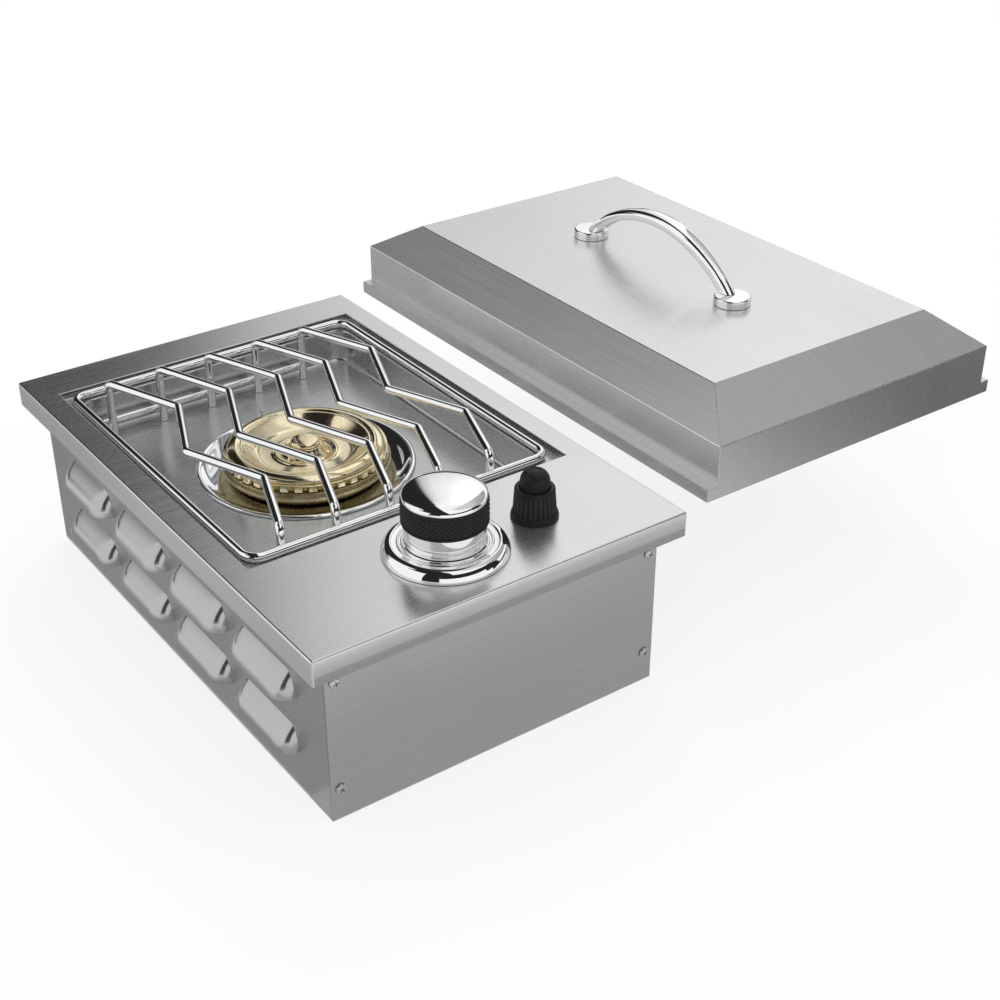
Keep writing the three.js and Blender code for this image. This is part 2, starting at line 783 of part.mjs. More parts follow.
function frontPanel() {
  const holes = [-1, 1].flatMap((side) => [0, screwRowPitch].map((drop) => (
    drum(screwShankRadius + seat, -overrun, overrun).rotateX(Math.PI / 2)
      .translate(side * screwHalfSpacing, -boxFront, -screwUpperDrop - drop)
  )));
  return cut(
    block(-boxHalfWidth, boxHalfWidth, -boxFront, boxSheet - boxFront, boxBottom, deckUnder - seat),
    ...holes,
  );
}

function rearPanel() {
  return cut(
    block(-boxHalfWidth, boxHalfWidth, boxRear - boxSheet, boxRear, boxBottom, deckUnder - seat),
    drum(fittingRadius + seat, -overrun, overrun).rotateX(Math.PI / 2).translate(inletX, boxRear, pipeLevel),
  );
}

function bottomPanel() {
  const half = boxHalfWidth - boxSheet - seat;
  const front = 2 * boxSheet + 2 * seat - boxFront;
  const rear = boxRear - 2 * boxSheet - 2 * seat;
  const slot = centred(bottomSlotLength, bottomSlotWidth, boxBottom - overrun, boxBottom + overrun);
  const slots = [];
  for (let i = 0; i < bottomSlotCount; i += 1) {
    const y = (i - (bottomSlotCount - 1) / 2) * bottomSlotPitch;
    slots.push(...[-1, 1].map((side) => slot.clone().translate(side * bottomSlotLength, y, 0)));
  }
  return cut(
    block(-half, half, front, rear, boxBottom, boxBottom + trayFlange),
    block(boxSheet - half, half - boxSheet, front + boxSheet, rear - boxSheet, boxBottom + boxSheet, 0),
    ...slots,
  );
}

function panHeadScrew() {
  return turned([
    [0, -screwLength],
    [screwShankRadius, -screwLength],
    [screwShankRadius, seat],
    ...dome(screwHeadRadius, seat, screwHeadHeight),
  ], smallSides).rotateX(Math.PI / 2);
}

function addHousing() {
  addPiece(sideBurner, 'deck_panel', deckPanel(), brushed);
  addPiece(sideBurner, 'burner_well', burnerWell(), brushed);
  addPiece(sideBurner, 'left_side_panel', sidePanel(-1), brushed);
  addPiece(sideBurner, 'right_side_panel', sidePanel(1), brushed);
  addPiece(sideBurner, 'front_panel', frontPanel(), brushed);
  addPiece(sideBurner, 'rear_panel', rearPanel(), brushed);
  addPiece(sideBurner, 'bottom_panel', bottomPanel(), brushed);
  for (const [sideName, side] of [['left', -1], ['right', 1]]) {
    for (const [rowName, drop] of [['upper', screwUpperDrop], ['lower', screwUpperDrop + screwRowPitch]]) {
      const place = groupAt(sideBurner, side * screwHalfSpacing, -boxFront, -drop);
      addPiece(place, `front_screw_${rowName}_${sideName}`, panHeadScrew(), zinc);
    }
  }
}

// Control, with levels counted from the deck's top, about the knob's axis

function controlBezel() {
  const slope = bezelRadius - bezelRidgeRadius;
  return turned([
    [valveNeckRadius + seat, seat],
    [bezelRadius, seat],
    ...bezelSlopeShares.map(([inward, up]) => [bezelRadius - inward * slope, up * bezelHeight]),
    [bezelSunkRadius, bezelHeight - (bezelRidgeRadius - bezelSunkRadius) / 2],
    [bezelSunkRadius, bezelFloor],
    [valveNeckRadius + seat, bezelFloor],
    [valveNeckRadius + seat, seat],
  ]);
}

function knobSkirt() {
  const inner = skirtRadius - skirtWall;
  const boss = gripRadius - gripWall - seat;
  const shoulder = gripLift - seat;
  const bossTop = gripLift + gripHeight - seat;
  const socket = stemRadius + seat;
  return turned([
    [socket, skirtLift + skirtWall],
    [socket + 2 * skirtWall, skirtLift + skirtWall],
    [socket + 2 * skirtWall, shoulder - skirtWall],
    [inner, shoulder - skirtWall],
    [inner, skirtLift],
    [skirtRadius, skirtLift],
    [skirtRadius, shoulder],
    [boss, shoulder],
    [boss, bossTop],
    [0, bossTop],
    [0, stemTop + seat],
    [socket, stemTop + seat],
    [socket, skirtLift + skirtWall],
  ]);
}

function knobGrip() {
  const inner = gripRadius - gripWall;
  const top = gripLift + gripHeight;
  return turned([
    [inner, gripLift],
    [gripRadius - gripChamfer, gripLift],
    [gripRadius, gripLift + gripChamfer],
    [gripRadius, top - gripChamfer],
    [gripRadius - gripChamfer, top],
    [inner, top],
    [inner, gripLift],
  ]);
}

function knobCap() {
  const foot = gripLift + gripHeight + seat;
  const curve = quarterArc(capRadius, capDome).map(([radius, up]) => [radius, foot + capRim + up]);
  return turned([[0, foot], [capRadius, foot], ...curve]);
}

// The stem's collar stops under the roof of the valve's chamber, where the spring holds it
function valveStem() {
  const collarTop = -valveTop - valveRoof - seat;
  const collarFoot = collarTop - stemCollarHeight;
  return turned([
    [0, -stemFoot],
    [stemRadius, -stemFoot],
    [stemRadius, collarFoot],
    [stemCollarRadius, collarFoot],
    [stemCollarRadius, collarTop],
    [stemRadius, collarTop],
    [stemRadius, stemTop],
    [0, stemTop],
  ], plainSides);
}

function valveSpring() {
  const top = -valveTop - valveRoof - 2 * seat - stemCollarHeight;
  return coil(valveSpringRadius, seat - plugTop, top, valveSpringTurns);
}

// The plug takes the stem from above and gas from below, and lets it out through a hole in its side
function valvePlug() {
  const radius = valveRadius - valveWall - seat;
  const foot = -plugTop - plugHeight;
  const bore = stemRadius + seat;
  const sunk = -stemFoot - knobTravel - seat;
  const plug = turned([
    [0, sunk - valveWall],
    [plugBore, sunk - valveWall],
    [plugBore, foot],
    [radius, foot],
    [radius, -plugTop],
    [bore, -plugTop],
    [bore, sunk],
    [0, sunk],
  ], plainSides);
  const sideHole = drum(plugHole, 0, 2 * radius, smallSides).rotateY(Math.PI / 2);
  return cut(plug, sideHole.translate(0, 0, -portLevel));
}

function valveBody() {
  const bore = valveRadius - valveWall;
  const neckTop = -deckSheet - 2 * seat;
  const plugFoot = -plugTop - plugHeight - seat;
  const roof = -valveTop - valveRoof;
  const body = turned([
    [0, -valveDrop],
    [valveRadius, -valveDrop],
    [valveRadius, -valveTop],
    [valveNeckRadius, -valveTop],
    [valveNeckRadius, neckTop],
    [stemRadius + seat, neckTop],
    [stemRadius + seat, roof],
    [bore, roof],
    [bore, plugFoot],
    [0, plugFoot],
  ], plainSides);
  const outlet = drum(portRadius, bore + seat, outletLength);
  const outletBore = drum(nippleBore, 0, outletLength + overrun, smallSides);
  const inlet = drum(portRadius, -valveReach, seat - valveDrop);
  const rearwards = (geometry) => geometry.rotateX(-Math.PI / 2).translate(0, 0, -portLevel);
  return cut(
    fuse(body, rearwards(outlet), inlet),
    rearwards(outletBore),
    drum(nippleBore, -valveReach - overrun, plugFoot + overrun, smallSides),
  );
}

// The nut that clamps the valve's neck in the bracket's plate
function neckNut() {
  const foot = -valveTop + 2 * seat + bracketSheet;
  return hexNut(valveNeckRadius + seat, neckNutRadius, foot, foot + neckNutHeight);
}

function valveBracket() {
  const plate = -valveTop + seat;
  const top = -deckSheet - seat - bracketSheet;
  const line = [
    [-bracketHalfWidth - bracketFoot, top],
    [-bracketHalfWidth, top],
    [-bracketHalfWidth, plate],
    [bracketHalfWidth, plate],
    [bracketHalfWidth, top],
    [bracketHalfWidth + bracketFoot, top],
  ];
  return cut(
    alongY(bentSheet(line, bracketSheet), -bracketDepth / 2, bracketDepth / 2),
    drum(valveNeckRadius + seat, plate - overrun, 0),
  );
}

function injector() {
  const start = outletLength + seat;
  const tip = start + injectorLength;
  const bore = injectorTipRadius / 2;
  return turned([
    [bore, start],
    [injectorRadius, start],
    [injectorRadius, tip - injectorConeShare * injectorLength],
    [injectorTipRadius, tip],
    [bore, tip],
    [bore, start],
  ], smallSides).rotateX(-Math.PI / 2).translate(0, 0, -portLevel);
}

function addControl() {
  const axis = groupAt(sideBurner, knobX, knobY, deckTop);
  addPiece(axis, 'control_bezel', controlBezel(), polished);
  addPiece(axis, 'knob_skirt', knobSkirt(), polished);
  addPiece(axis, 'knob_grip', knobGrip(), blackRubber);
  addPiece(axis, 'knob_cap', knobCap(), polished);
  addPiece(axis, 'valve_stem', valveStem(), brass);
  addPiece(axis, 'valve_spring', valveSpring(), springSteel);
  addPiece(axis, 'valve_plug', valvePlug(), brass);
  addPiece(axis, 'valve_body', valveBody(), aluminium);
  addPiece(axis, 'valve_neck_nut', neckNut(), zinc);
  addPiece(axis, 'valve_bracket', valveBracket(), zinc);
  addPiece(axis, 'injector', injector(), brass);
}

// Gas supply

// The bore of the fitting runs along the supply's axis, which points to the rear
function inletFitting() {
  const hexFoot = boxRear + seat;
  const nippleFoot = hexFoot + fittingHexLength;
  const end = nippleFoot + nippleLength;
  const inner = boxRear - boxSheet - fittingInnerLength;
  const turnedY = (geometry) => geometry.rotateX(-Math.PI / 2).translate(inletX, 0, pipeLevel);
  return cut(
    fuse(
      turnedY(drum(fittingRadius, inner, hexFoot + fittingHexLength / 2)),
      turnedY(drum(fittingHexRadius, hexFoot, nippleFoot, hexSides)),
      turnedY(drum(nippleRadius, nippleFoot - seat, end)),
    ),
    turnedY(drum(nippleBore, inner - overrun, end + overrun)),
  );
}

function inletNut() {
  const rear = boxRear - boxSheet - seat;
  return hexNut(fittingRadius + seat, inletNutRadius, rear - inletNutHeight, rear)
    .rotateX(-Math.PI / 2).translate(inletX, 0, pipeLevel);
}

function gasPipe() {
  const start = boxRear - boxSheet - fittingInnerLength - seat;
  const end = deckTop - valveReach - seat;
  const line = [
    [inletX, start, pipeLevel],
    [inletX, knobY, pipeLevel],
    [knobX, knobY, pipeLevel],
    [knobX, knobY, end],
  ];
  return rod(line, pipeRadius, pipeBend, { bore: pipeBore });
}

function addGasSupply() {
  addPiece(sideBurner, 'gas_inlet_fitting', inletFitting(), brass);
  addPiece(sideBurner, 'inlet_nut', inletNut(), brass);
  addPiece(sideBurner, 'gas_pipe', gasPipe(), aluminium);
}

// Burner with its mixing tube

const tubeMouth = knobY + outletLength + injectorLength + 2 * seat + injectorGap;
const neckFace = burnerY - Math.sqrt(neckRadius ** 2 - knobX ** 2);

function mixingTube() {
  const tube = ring(tubeRadius - tubeWall, tubeRadius, tubeMouth, neckFace + tubeReach).rotateX(-Math.PI / 2);
  const port = tubeMouth + shutterLength / 2;
  return cut(
    tube,
    block(-2 * tubeRadius, 2 * tubeRadius, port - airPortLength / 2, port + airPortLength / 2,
      -airPortWidth / 2, airPortWidth / 2),
  ).translate(knobX, 0, tubeLevel);
}

function airShutter() {
  const inner = tubeRadius + seat;
  const collar = ring(inner, inner + shutterWall, tubeMouth, tubeMouth + shutterLength).rotateX(-Math.PI / 2);
  const port = tubeMouth + shutterLength / 2;
  const tab = block(-airPortWidth / 4, airPortWidth / 4, port - airPortLength / 3, port + airPortLength / 3,
    inner + shutterWall / 2, inner + 4 * shutterWall);
  return cut(
    fuse(collar, tab),
    block(-2 * tubeRadius, 2 * tubeRadius, port - airPortLength / 2, port + airPortLength / 2,
      -airPortWidth / 2, airPortWidth / 2),
  ).translate(knobX, 0, tubeLevel);
}

function burnerStrap() {
  const top = floorUnder - seat - strapSheet;
  const foot = deckTop - neckDrop - seat - strapSheet;
  const line = [
    [-strapHalfTop - strapFoot, top], [-strapHalfTop, top], [-strapHalfBase, foot],
    [strapHalfBase, foot], [strapHalfTop, top], [strapHalfTop + strapFoot, top],
  ];
  return alongY(bentSheet(line, strapSheet), burnerY - strapWidth / 2, burnerY + strapWidth / 2);
}

function addBurner() {
  const axis = groupAt(sideBurner, 0, burnerY, deckTop);
  addPiece(axis, 'drip_bowl', dripBowl(), polished);
  addPiece(axis, 'burner_base', burnerBase(), brass);
  addPiece(axis, 'burner_ring', burnerRing(), brass);
  addPiece(axis, 'burner_crown', burnerCrown(), brass);
  addPiece(axis, 'burner_centre_cap', centreCap(), brass);
  addPiece(sideBurner, 'mixing_tube', mixingTube(), aluminium);
  addPiece(sideBurner, 'air_shutter', airShutter(), zinc);
  addPiece(sideBurner, 'burner_strap', burnerStrap(), zinc);
}

// Igniter, with levels counted from the deck's top, about its own axis

function flutedDrum(z0, z1) {
  const points = [];
  for (let i = 0; i < collarFlutes; i += 1) {
    for (const [round, deep] of collarFluteShares) {
      const angle = ((i + round) / collarFlutes) * Math.PI * 2;
      const reach = collarRadius - deep * collarFluteDepth;
      points.push([reach * Math.cos(angle), reach * Math.sin(angle)]);
    }
  }
  return upright(outline(points), z0, z1);
}

// Narrows a geometry about the vertical axis, from its full width at one level to a share at another
function tapered(geometry, z0, z1, share) {
  const places = geometry.attributes.position;
  for (let i = 0; i < places.count; i += 1) {
    const size = THREE.MathUtils.mapLinear(places.getZ(i), z0, z1, 1, share);
    places.setXY(i, places.getX(i) * size, places.getY(i) * size);
  }
  return geometry;
}

function igniterCollar() {
  const flare = turned([
    [0, seat],
    [collarFlareRadius, seat],
    [collarFlareRadius, collarRimHeight],
    [collarRadius + collarStep, collarFlareHeight - collarStep],
    [collarRadius + collarStep, collarFlareHeight],
    [0, collarFlareHeight],
  ]);
  const body = flutedDrum(collarFlareHeight - seat, collarHeight);
  return cut(
    fuse(flare, tapered(body, collarFlareHeight, collarHeight, collarTopShare)),
    drum(tubeNeckRadius + seat, -overrun, tubeNeckTop + seat),
    drum(pushRadius + seat, tubeNeckTop, collarHeight + overrun),
  );
}

function pushButton() {
  const top = pushFoot + pushHeight;
  const shoulder = quarterArc(pushRadius - pushTopRadius, pushRoundness)
    .map(([out, up]) => [pushTopRadius + out, top - pushRoundness + up]);
  return turned([
    [0, pushFoot - pushStemLength],
    [pushStemRadius, pushFoot - pushStemLength],
    [pushStemRadius, pushFoot],
    [pushRadius, pushFoot],
    ...shoulder,
    [0, top],
  ], plainSides);
}

function igniterBody() {
  return turned([
    [0, -igniterDrop],
    [igniterRadius, -igniterDrop],
    [igniterRadius, -igniterShoulder],
    [tubeNeckRadius, -igniterShoulder],
    [tubeNeckRadius, tubeNeckTop],
    [igniterBore, tubeNeckTop],
    [igniterBore, igniterFloor - igniterDrop],
    [0, igniterFloor - igniterDrop],
  ], plainSides);
}

function battery() {
  const foot = igniterFloor - igniterDrop + seat;
  const top = foot + batteryLength;
  return turned([
    [0, foot],
    [batteryRadius, foot],
    [batteryRadius, top],
    [nippleOfBatteryRadius, top],
    [nippleOfBatteryRadius, top + nippleOfBatteryHeight],
    [0, top + nippleOfBatteryHeight],
  ], plainSides);
}

// From the battery's shoulder to the button, round its stem
function pushSpring() {
  const foot = igniterFloor - igniterDrop + batteryLength + 2 * seat;
  return coil(pushSpringRadius, foot, pushFoot - seat, pushSpringTurns);
}

function igniterNut() {
  const top = -deckSheet - seat;
  return hexNut(tubeNeckRadius + seat, igniterNutRadius, top - igniterNutHeight, top);
}

// The lead from the igniter's foot to the electrode's, under the well
function electrodeLead() {
  const start = deckTop - igniterDrop - seat;
  const end = deckTop - ceramicFoot - seat;
  const level = deckTop - leadLevel;
  const run = igniterX + leadSidestep;
  const rear = burnerY + electrodeReach;
  return rod([
    [igniterX, igniterY, start],
    [igniterX, igniterY, level],
    [run, igniterY + 2 * leadBend, level],
    [run, rear, level],
    [0, rear, level],
    [0, rear, end],
  ], leadRadius, leadBend, { sides: hexSides });
}

function electrodeCeramic() {
  const collarTop = -wellDrop - bowlDrop - bowlSheet;
  const collarFoot = collarTop - ceramicCollarHeight;
  return turned([
    [0, -ceramicFoot],
    [ceramicRadius, -ceramicFoot],
    [ceramicRadius, collarFoot],
    [ceramicCollarRadius, collarFoot],
    [ceramicCollarRadius, collarTop],
    [ceramicRadius, collarTop],
    [ceramicRadius, -ceramicTop],
    [0, -ceramicTop],
  ], smallSides);
}

function electrodePin() {
  const foot = seat - ceramicTop;
  const level = foot + pinRise;
  const line = [[0, 0, foot], [0, 0, level], [0, -pinHook, level + pinRadius]];
  return rod(line, pinRadius, pinRadius, { sides: hexSides });
}

function addIgniter() {
  const axis = groupAt(sideBurner, igniterX, igniterY, deckTop);
  addPiece(axis, 'igniter_collar', igniterCollar(), blackPlastic);
  addPiece(axis, 'igniter_button', pushButton(), blackPlastic);
  addPiece(axis, 'igniter_body', igniterBody(), blackPlastic);
  addPiece(axis, 'igniter_battery', battery(), batteryWrap);
  addPiece(axis, 'igniter_spring', pushSpring(), springSteel);
  addPiece(axis, 'igniter_nut', igniterNut(), blackPlastic);
  addPiece(sideBurner, 'electrode_lead', electrodeLead(), blackRubber);
  const electrode = groupAt(sideBurner, 0, burnerY + electrodeReach, deckTop);
  addPiece(electrode, 'electrode_ceramic', electrodeCeramic(), ceramic);
  addPiece(electrode, 'electrode_pin', electrodePin(), zinc);
}

// Grate

const frameCentre = ledgeTop + seat + frameRadius;
const frameRear = openingRear - frameRearGap;
const frameFront = openingFront + frameFrontGap;
const legY = openingRear - legSetBack;

function grateFrame() {
  const half = openingWidth / 2 - frameSideGap;
  const loopHalf = (side) => rod([
    [0, frameRear, frameCentre],
    [side * half, frameRear, frameCentre],
    [side * half, frameFront, frameCentre],
    [0, frameFront, frameCentre],
  ], frameRadius, frameCorner);
  return fuse(loopHalf(-1), loopHalf(1));
}

function fingerLine() {
  const top = deckTop + fingerLift;
  const frontLeg = frameFront + frameRadius + fingerRadius + seat;
  const zigzag = fingerCornerShares.map((share, i) => (
    [(i % 2 ? -1 : 1) * fingerSwing, legY - share * (legY - frontLeg), top]
  ));
  const corners = [
    [-fingerSwing, legY, floorTop + seat],
    [-fingerSwing, legY, top],
    ...zigzag,
    [-fingerEndSwing, frontLeg, top],
    [-fingerEndSwing, frontLeg, ledgeTop + seat],
  ];
  return rod(corners, fingerRadius, [fingerKneeBend, fingerBend, fingerBend, fingerBend, fingerBend]);
}

function lowerBar() {
  const half = ((fingerCount - 1) / 2) * fingerPitch + barOverhang;
  const y = legY + 2 * fingerRadius + seat;
  const level = deckTop - barDrop;
  return rod([[-half - fingerSwing, y, level], [half - fingerSwing, y, level]], fingerRadius, 0);
}

function addGrate() {
  addPiece(sideBurner, 'grate_frame', grateFrame(), polished);
  addPiece(sideBurner, 'grate_lower_bar', lowerBar(), polished);
  for (let i = 0; i < fingerCount; i += 1) {
    const place = groupAt(sideBurner, (i - (fingerCount - 1) / 2) * fingerPitch, 0, 0);
    addPiece(place, `grate_finger_${i + 1}`, fingerLine(), polished);
  }
}

// Lid, about its own centre, with its lower edge in the plane of the counter's top

function lidSideLine() {
  const half = lidWidth / 2;
  const wall = half - lidStepWidth;
  const right = [
    [half, 0],
    [half, lidStepHeight],
    [wall, lidStepHeight],
    [wall, lidSkirtTop],
    [wall - lidSideRun, lidHeight],
  ];
  return [...right, ...right.map(([x, z]) => [-x, z]).reverse()];
}

const lidFrontLine = () => [
  [-lidDepth / 2, 0], [-lidDepth / 2, lidSkirtTop], [lidFrontRun - lidDepth / 2, lidHeight],
];

const lidRearLine = () => [
  [lidDepth / 2 - lidRearRun, lidHeight], [lidDepth / 2, lidSkirtTop], [lidDepth / 2, 0],
];

// The room between the end panels, less the gap to them
function lidRoom(inset) {
  const lines = [...shifted(lidFrontLine(), -inset), ...shifted(lidRearLine(), -inset)];
  const [front, rear] = [lines[0][0], lines[5][0]];
  const extraShare = overrun / lidSkirtTop;
  const overTop = ([y, z], [toY, toZ]) => [toY + (toY - y) * extraShare, toZ + (toZ - z) * extraShare];
  const tops = [overTop(lines[1], lines[2]), overTop(lines[4], lines[3])];
  const section = outline([[front, -overrun], lines[1], ...tops, lines[4], [rear, -overrun]]);
  return alongX(section, -lidWidth, lidWidth);
}

function lidShell() {
  const sheet = alongY(bentSheet(lidSideLine(), lidSheet), -lidDepth, lidDepth);
  const screwHoles = [-1, 1].map((side) => (
    drum(handleScrewRadius + seat, lidSkirtTop, lidHeight + overrun)
      .translate(handleX, handleY + (side * padSpacing) / 2, 0)
  ));
  return cut(common(sheet, lidRoom(lidSheet + seat)), ...screwHoles);
}

function lidEnd(line) {
  const body = alongY(outline(lidSideLine()), -lidDepth, lidDepth);
  return common(body, alongX(bentSheet(line, -lidSheet), -lidWidth, lidWidth));
}

function handlePad() {
  const bore = handleScrewRadius + seat;
  return turned([
    [bore, 0],
    [padRadius, 0],
    [padRadius, padHeight - padChamfer],
    [padRadius - padChamfer, padHeight],
    [0, padHeight],
    [0, handleScrewReach + seat],
    [bore, handleScrewReach + seat],
    [bore, 0],
  ], fineSides);
}

// The arched bar: one section drawn along an arc, narrowing from its middle to its tips
function lidHandle() {
  const halfSpan = padSpacing / 2 - handleInset;
  const rise = handleRise;
  const radius = (halfSpan ** 2 + rise ** 2) / (2 * rise);
  const sweep = Math.acos((radius - rise) / (radius + handleThick + handleCrown));
  const section = outline([
    [-handleWidth / 2, 0],
    [handleWidth / 2, 0],
    ...handleTopShares.map(([across, up]) => [across * handleWidth, handleThick + up * handleCrown]),
  ]);
  const geometry = new THREE.ExtrudeGeometry(section, { depth: 1, steps: handleSteps, bevelEnabled: false });
  const places = geometry.attributes.position;
  for (let i = 0; i < places.count; i += 1) {
    const turn = (places.getZ(i) * 2 - 1) * sweep;
    const middling = 1 - (turn / sweep) ** 2;
    const width = THREE.MathUtils.lerp(handleTipWidthShare, 1, middling);
    const reach = radius + places.getY(i);
    places.setXYZ(i, places.getX(i) * width, reach * Math.sin(turn), reach * Math.cos(turn) - radius + rise);
  }
  const foot = padHeight + 2 * seat;
  const under = centred(4 * handleWidth, 4 * halfSpan, -4 * rise, foot);
  return cut(geometry.translate(0, 0, foot), under);
}

function handleScrew() {
  return turned([
    [0, -lidSheet - seat - handleScrewHeadHeight],
    [handleScrewHead, -lidSheet - seat - handleScrewHeadHeight],
    [handleScrewHead, -lidSheet - seat],
    [handleScrewRadius, -lidSheet - seat],
    [handleScrewRadius, handleScrewReach],
    [0, handleScrewReach],
  ], smallSides);
}

function addLid() {
  const lid = groupAt(sideBurner, lidX, lidShift, 0);
  addPiece(lid, 'lid_shell', lidShell(), brushed);
  addPiece(lid, 'lid_front_panel', lidEnd(lidFrontLine()), brushed);
  addPiece(lid, 'lid_rear_panel', lidEnd(lidRearLine()), brushed);
  const handle = groupAt(lid, handleX, handleY, lidHeight);
  addPiece(handle, 'lid_handle', lidHandle(), polished);
  for (const [name, side] of [['front', -1], ['rear', 1]]) {
    const place = groupAt(handle, 0, (side * padSpacing) / 2, 0);
    addPiece(place, `handle_pad_${name}`, handlePad().translate(0, 0, seat), polished);
    addPiece(place, `handle_screw_${name}`, handleScrew(), zinc);
  }
}

addHousing();
addControl();
addGasSupply();
addBurner();
addIgniter();
addGrate();
addLid();

export default sideBurner;
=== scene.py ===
"""Looks of a built-in gas side burner around its packed frame.

Every piece is in metres, in the frame of the packed part: +X to the right, +Y to the back, +Z up. The
origin is the centre of the counter's cut-out, in the plane of the counter's top.
"""

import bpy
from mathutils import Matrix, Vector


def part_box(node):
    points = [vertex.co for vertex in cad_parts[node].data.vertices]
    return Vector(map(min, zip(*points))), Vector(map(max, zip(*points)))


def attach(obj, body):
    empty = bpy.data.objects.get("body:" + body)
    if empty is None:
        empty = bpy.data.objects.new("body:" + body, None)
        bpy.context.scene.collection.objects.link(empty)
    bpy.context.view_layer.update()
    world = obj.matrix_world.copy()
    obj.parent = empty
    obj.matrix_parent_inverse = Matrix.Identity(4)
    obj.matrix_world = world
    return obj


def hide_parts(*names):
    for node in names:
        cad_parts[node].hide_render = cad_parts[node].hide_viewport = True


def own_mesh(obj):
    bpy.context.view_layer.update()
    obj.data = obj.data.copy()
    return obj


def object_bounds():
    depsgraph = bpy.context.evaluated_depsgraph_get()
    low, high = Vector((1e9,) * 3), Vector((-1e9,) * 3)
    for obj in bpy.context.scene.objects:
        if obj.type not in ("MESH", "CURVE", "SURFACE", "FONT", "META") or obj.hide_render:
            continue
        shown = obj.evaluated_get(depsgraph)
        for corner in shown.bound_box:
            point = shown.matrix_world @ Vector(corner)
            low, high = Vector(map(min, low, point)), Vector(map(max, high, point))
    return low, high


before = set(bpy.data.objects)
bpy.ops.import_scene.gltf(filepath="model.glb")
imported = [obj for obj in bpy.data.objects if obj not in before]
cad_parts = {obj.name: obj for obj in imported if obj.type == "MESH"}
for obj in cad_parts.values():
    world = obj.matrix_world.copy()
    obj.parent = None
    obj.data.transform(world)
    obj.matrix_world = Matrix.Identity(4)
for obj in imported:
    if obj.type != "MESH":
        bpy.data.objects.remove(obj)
cad_bounds = [list(corner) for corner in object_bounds()]

import math

import bmesh
import bpy
from bpy.props import FloatProperty, FloatVectorProperty, IntProperty, PointerProperty
from mathutils import Euler, Matrix, Vector

bl_info = {
    "name": "Built-in Side Burner",
    "version": (1, 0, 0),
    "blender": (4, 5, 0),
    "location": "View3D > Sidebar > Side Burner",
    "description": "Builds the sheet, rods, burner, knob and lid of a side burner, with their finishes",
    "category": "Object",
}

MM = 0.001
BRUSH_MAP = "brush"
WELD = 0.00001  # distance at which the loose corners of a solid's triangles join
TURN = 2 * math.pi
ACROSS = Vector((1.0, 0.0, 0.0))
LENGTHWISE = Vector((0.0, 1.0, 0.0))
LARGE_FACE = 0.0015  # in square metres: a slope of the lid is larger, and a fold is smaller


def span(node):
    """The lowest corner, the highest corner and the middle of a solid."""
    low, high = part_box(node)
    return low, high, (low + high) / 2


# Sizes and colours that a user would change


def length(name, description, millimetres):
    """A size property in metres, given in millimetres."""
    return number(name, description, millimetres * MM, min=0.0, unit="LENGTH")


def count(name, description, value, least):
    """A whole number of like things."""
    return IntProperty(name=name, description=description, default=value, min=least)


def number(name, description, value, **more):
    """A plain number."""
    return FloatProperty(name=name, description=description, default=value, **more)


def colour(name, description, value):
    """A colour property, in linear light."""
    return FloatVectorProperty(
        name=name, description=description, default=value, size=3, min=0.0, max=1.0, subtype="COLOR"
    )


def share(name, description, value):
    """A part of a whole, from nothing to all of it."""
    return number(name, description, value, min=0.0, max=1.0, subtype="FACTOR")


class FinishSettings(bpy.types.PropertyGroup):
    """Colours of the metals, plastics and rubber."""

    deck_steel: colour("Deck steel", "Brushed steel of the deck", (0.70, 0.705, 0.71))
    lid_steel: colour("Lid steel", "Brushed steel of the lid's top and sides", (0.70, 0.705, 0.71))
    # The lid end steel is the lid's steel made darker: painted shade for the faces towards the front and
    # rear.
    end_steel: colour("Lid end steel", "Brushed steel of the lid's end panels", (0.60, 0.605, 0.61))
    # The box steel is the deck's steel made darker: painted shade for the box's panels and louvres.
    box_steel: colour("Box steel", "Brushed steel of the box under the deck", (0.49, 0.495, 0.495))
    well_steel: colour("Well steel", "Bright steel of the pressed well", (0.55, 0.56, 0.56))
    chrome: colour("Chrome", "Polished chrome of rods, knob and handle", (0.90, 0.905, 0.91))
    zinc: colour("Zinc", "Zinc plated screws and brackets", (0.58, 0.59, 0.59))
    crown_brass: colour("Crown brass", "Polished brass of the burner's crown", (0.90, 0.80, 0.56))
    base_brass: colour("Base brass", "Duller brass of the burner's base", (0.50, 0.42, 0.24))
    fitting_brass: colour("Fitting brass", "Turned brass of the gas fittings", (0.70, 0.54, 0.27))
    aluminium: colour("Aluminium", "Cast and drawn aluminium", (0.56, 0.57, 0.57))
    grip_rubber: colour("Grip rubber", "Black rubber of the knob's grip", (0.012, 0.0125, 0.013))
    igniter_plastic: colour("Igniter plastic", "Black plastic of the igniter", (0.012, 0.0125, 0.0125))
    ceramic: colour("Ceramic", "Glazed ceramic of the electrode", (0.86, 0.84, 0.78))
    battery_sleeve: colour("Battery sleeve", "Sleeve of the igniter's battery", (0.075, 0.09, 0.12))
    brush_line: length("Brush line", "Width of the finest brushed line", 0.3)
    brush_roughness: share("Brushed roughness", "Roughness of the brushed steel", 0.25)
    brush_spread: share("Brushed spread", "How far a reflection is drawn out across the lines", 0.55)


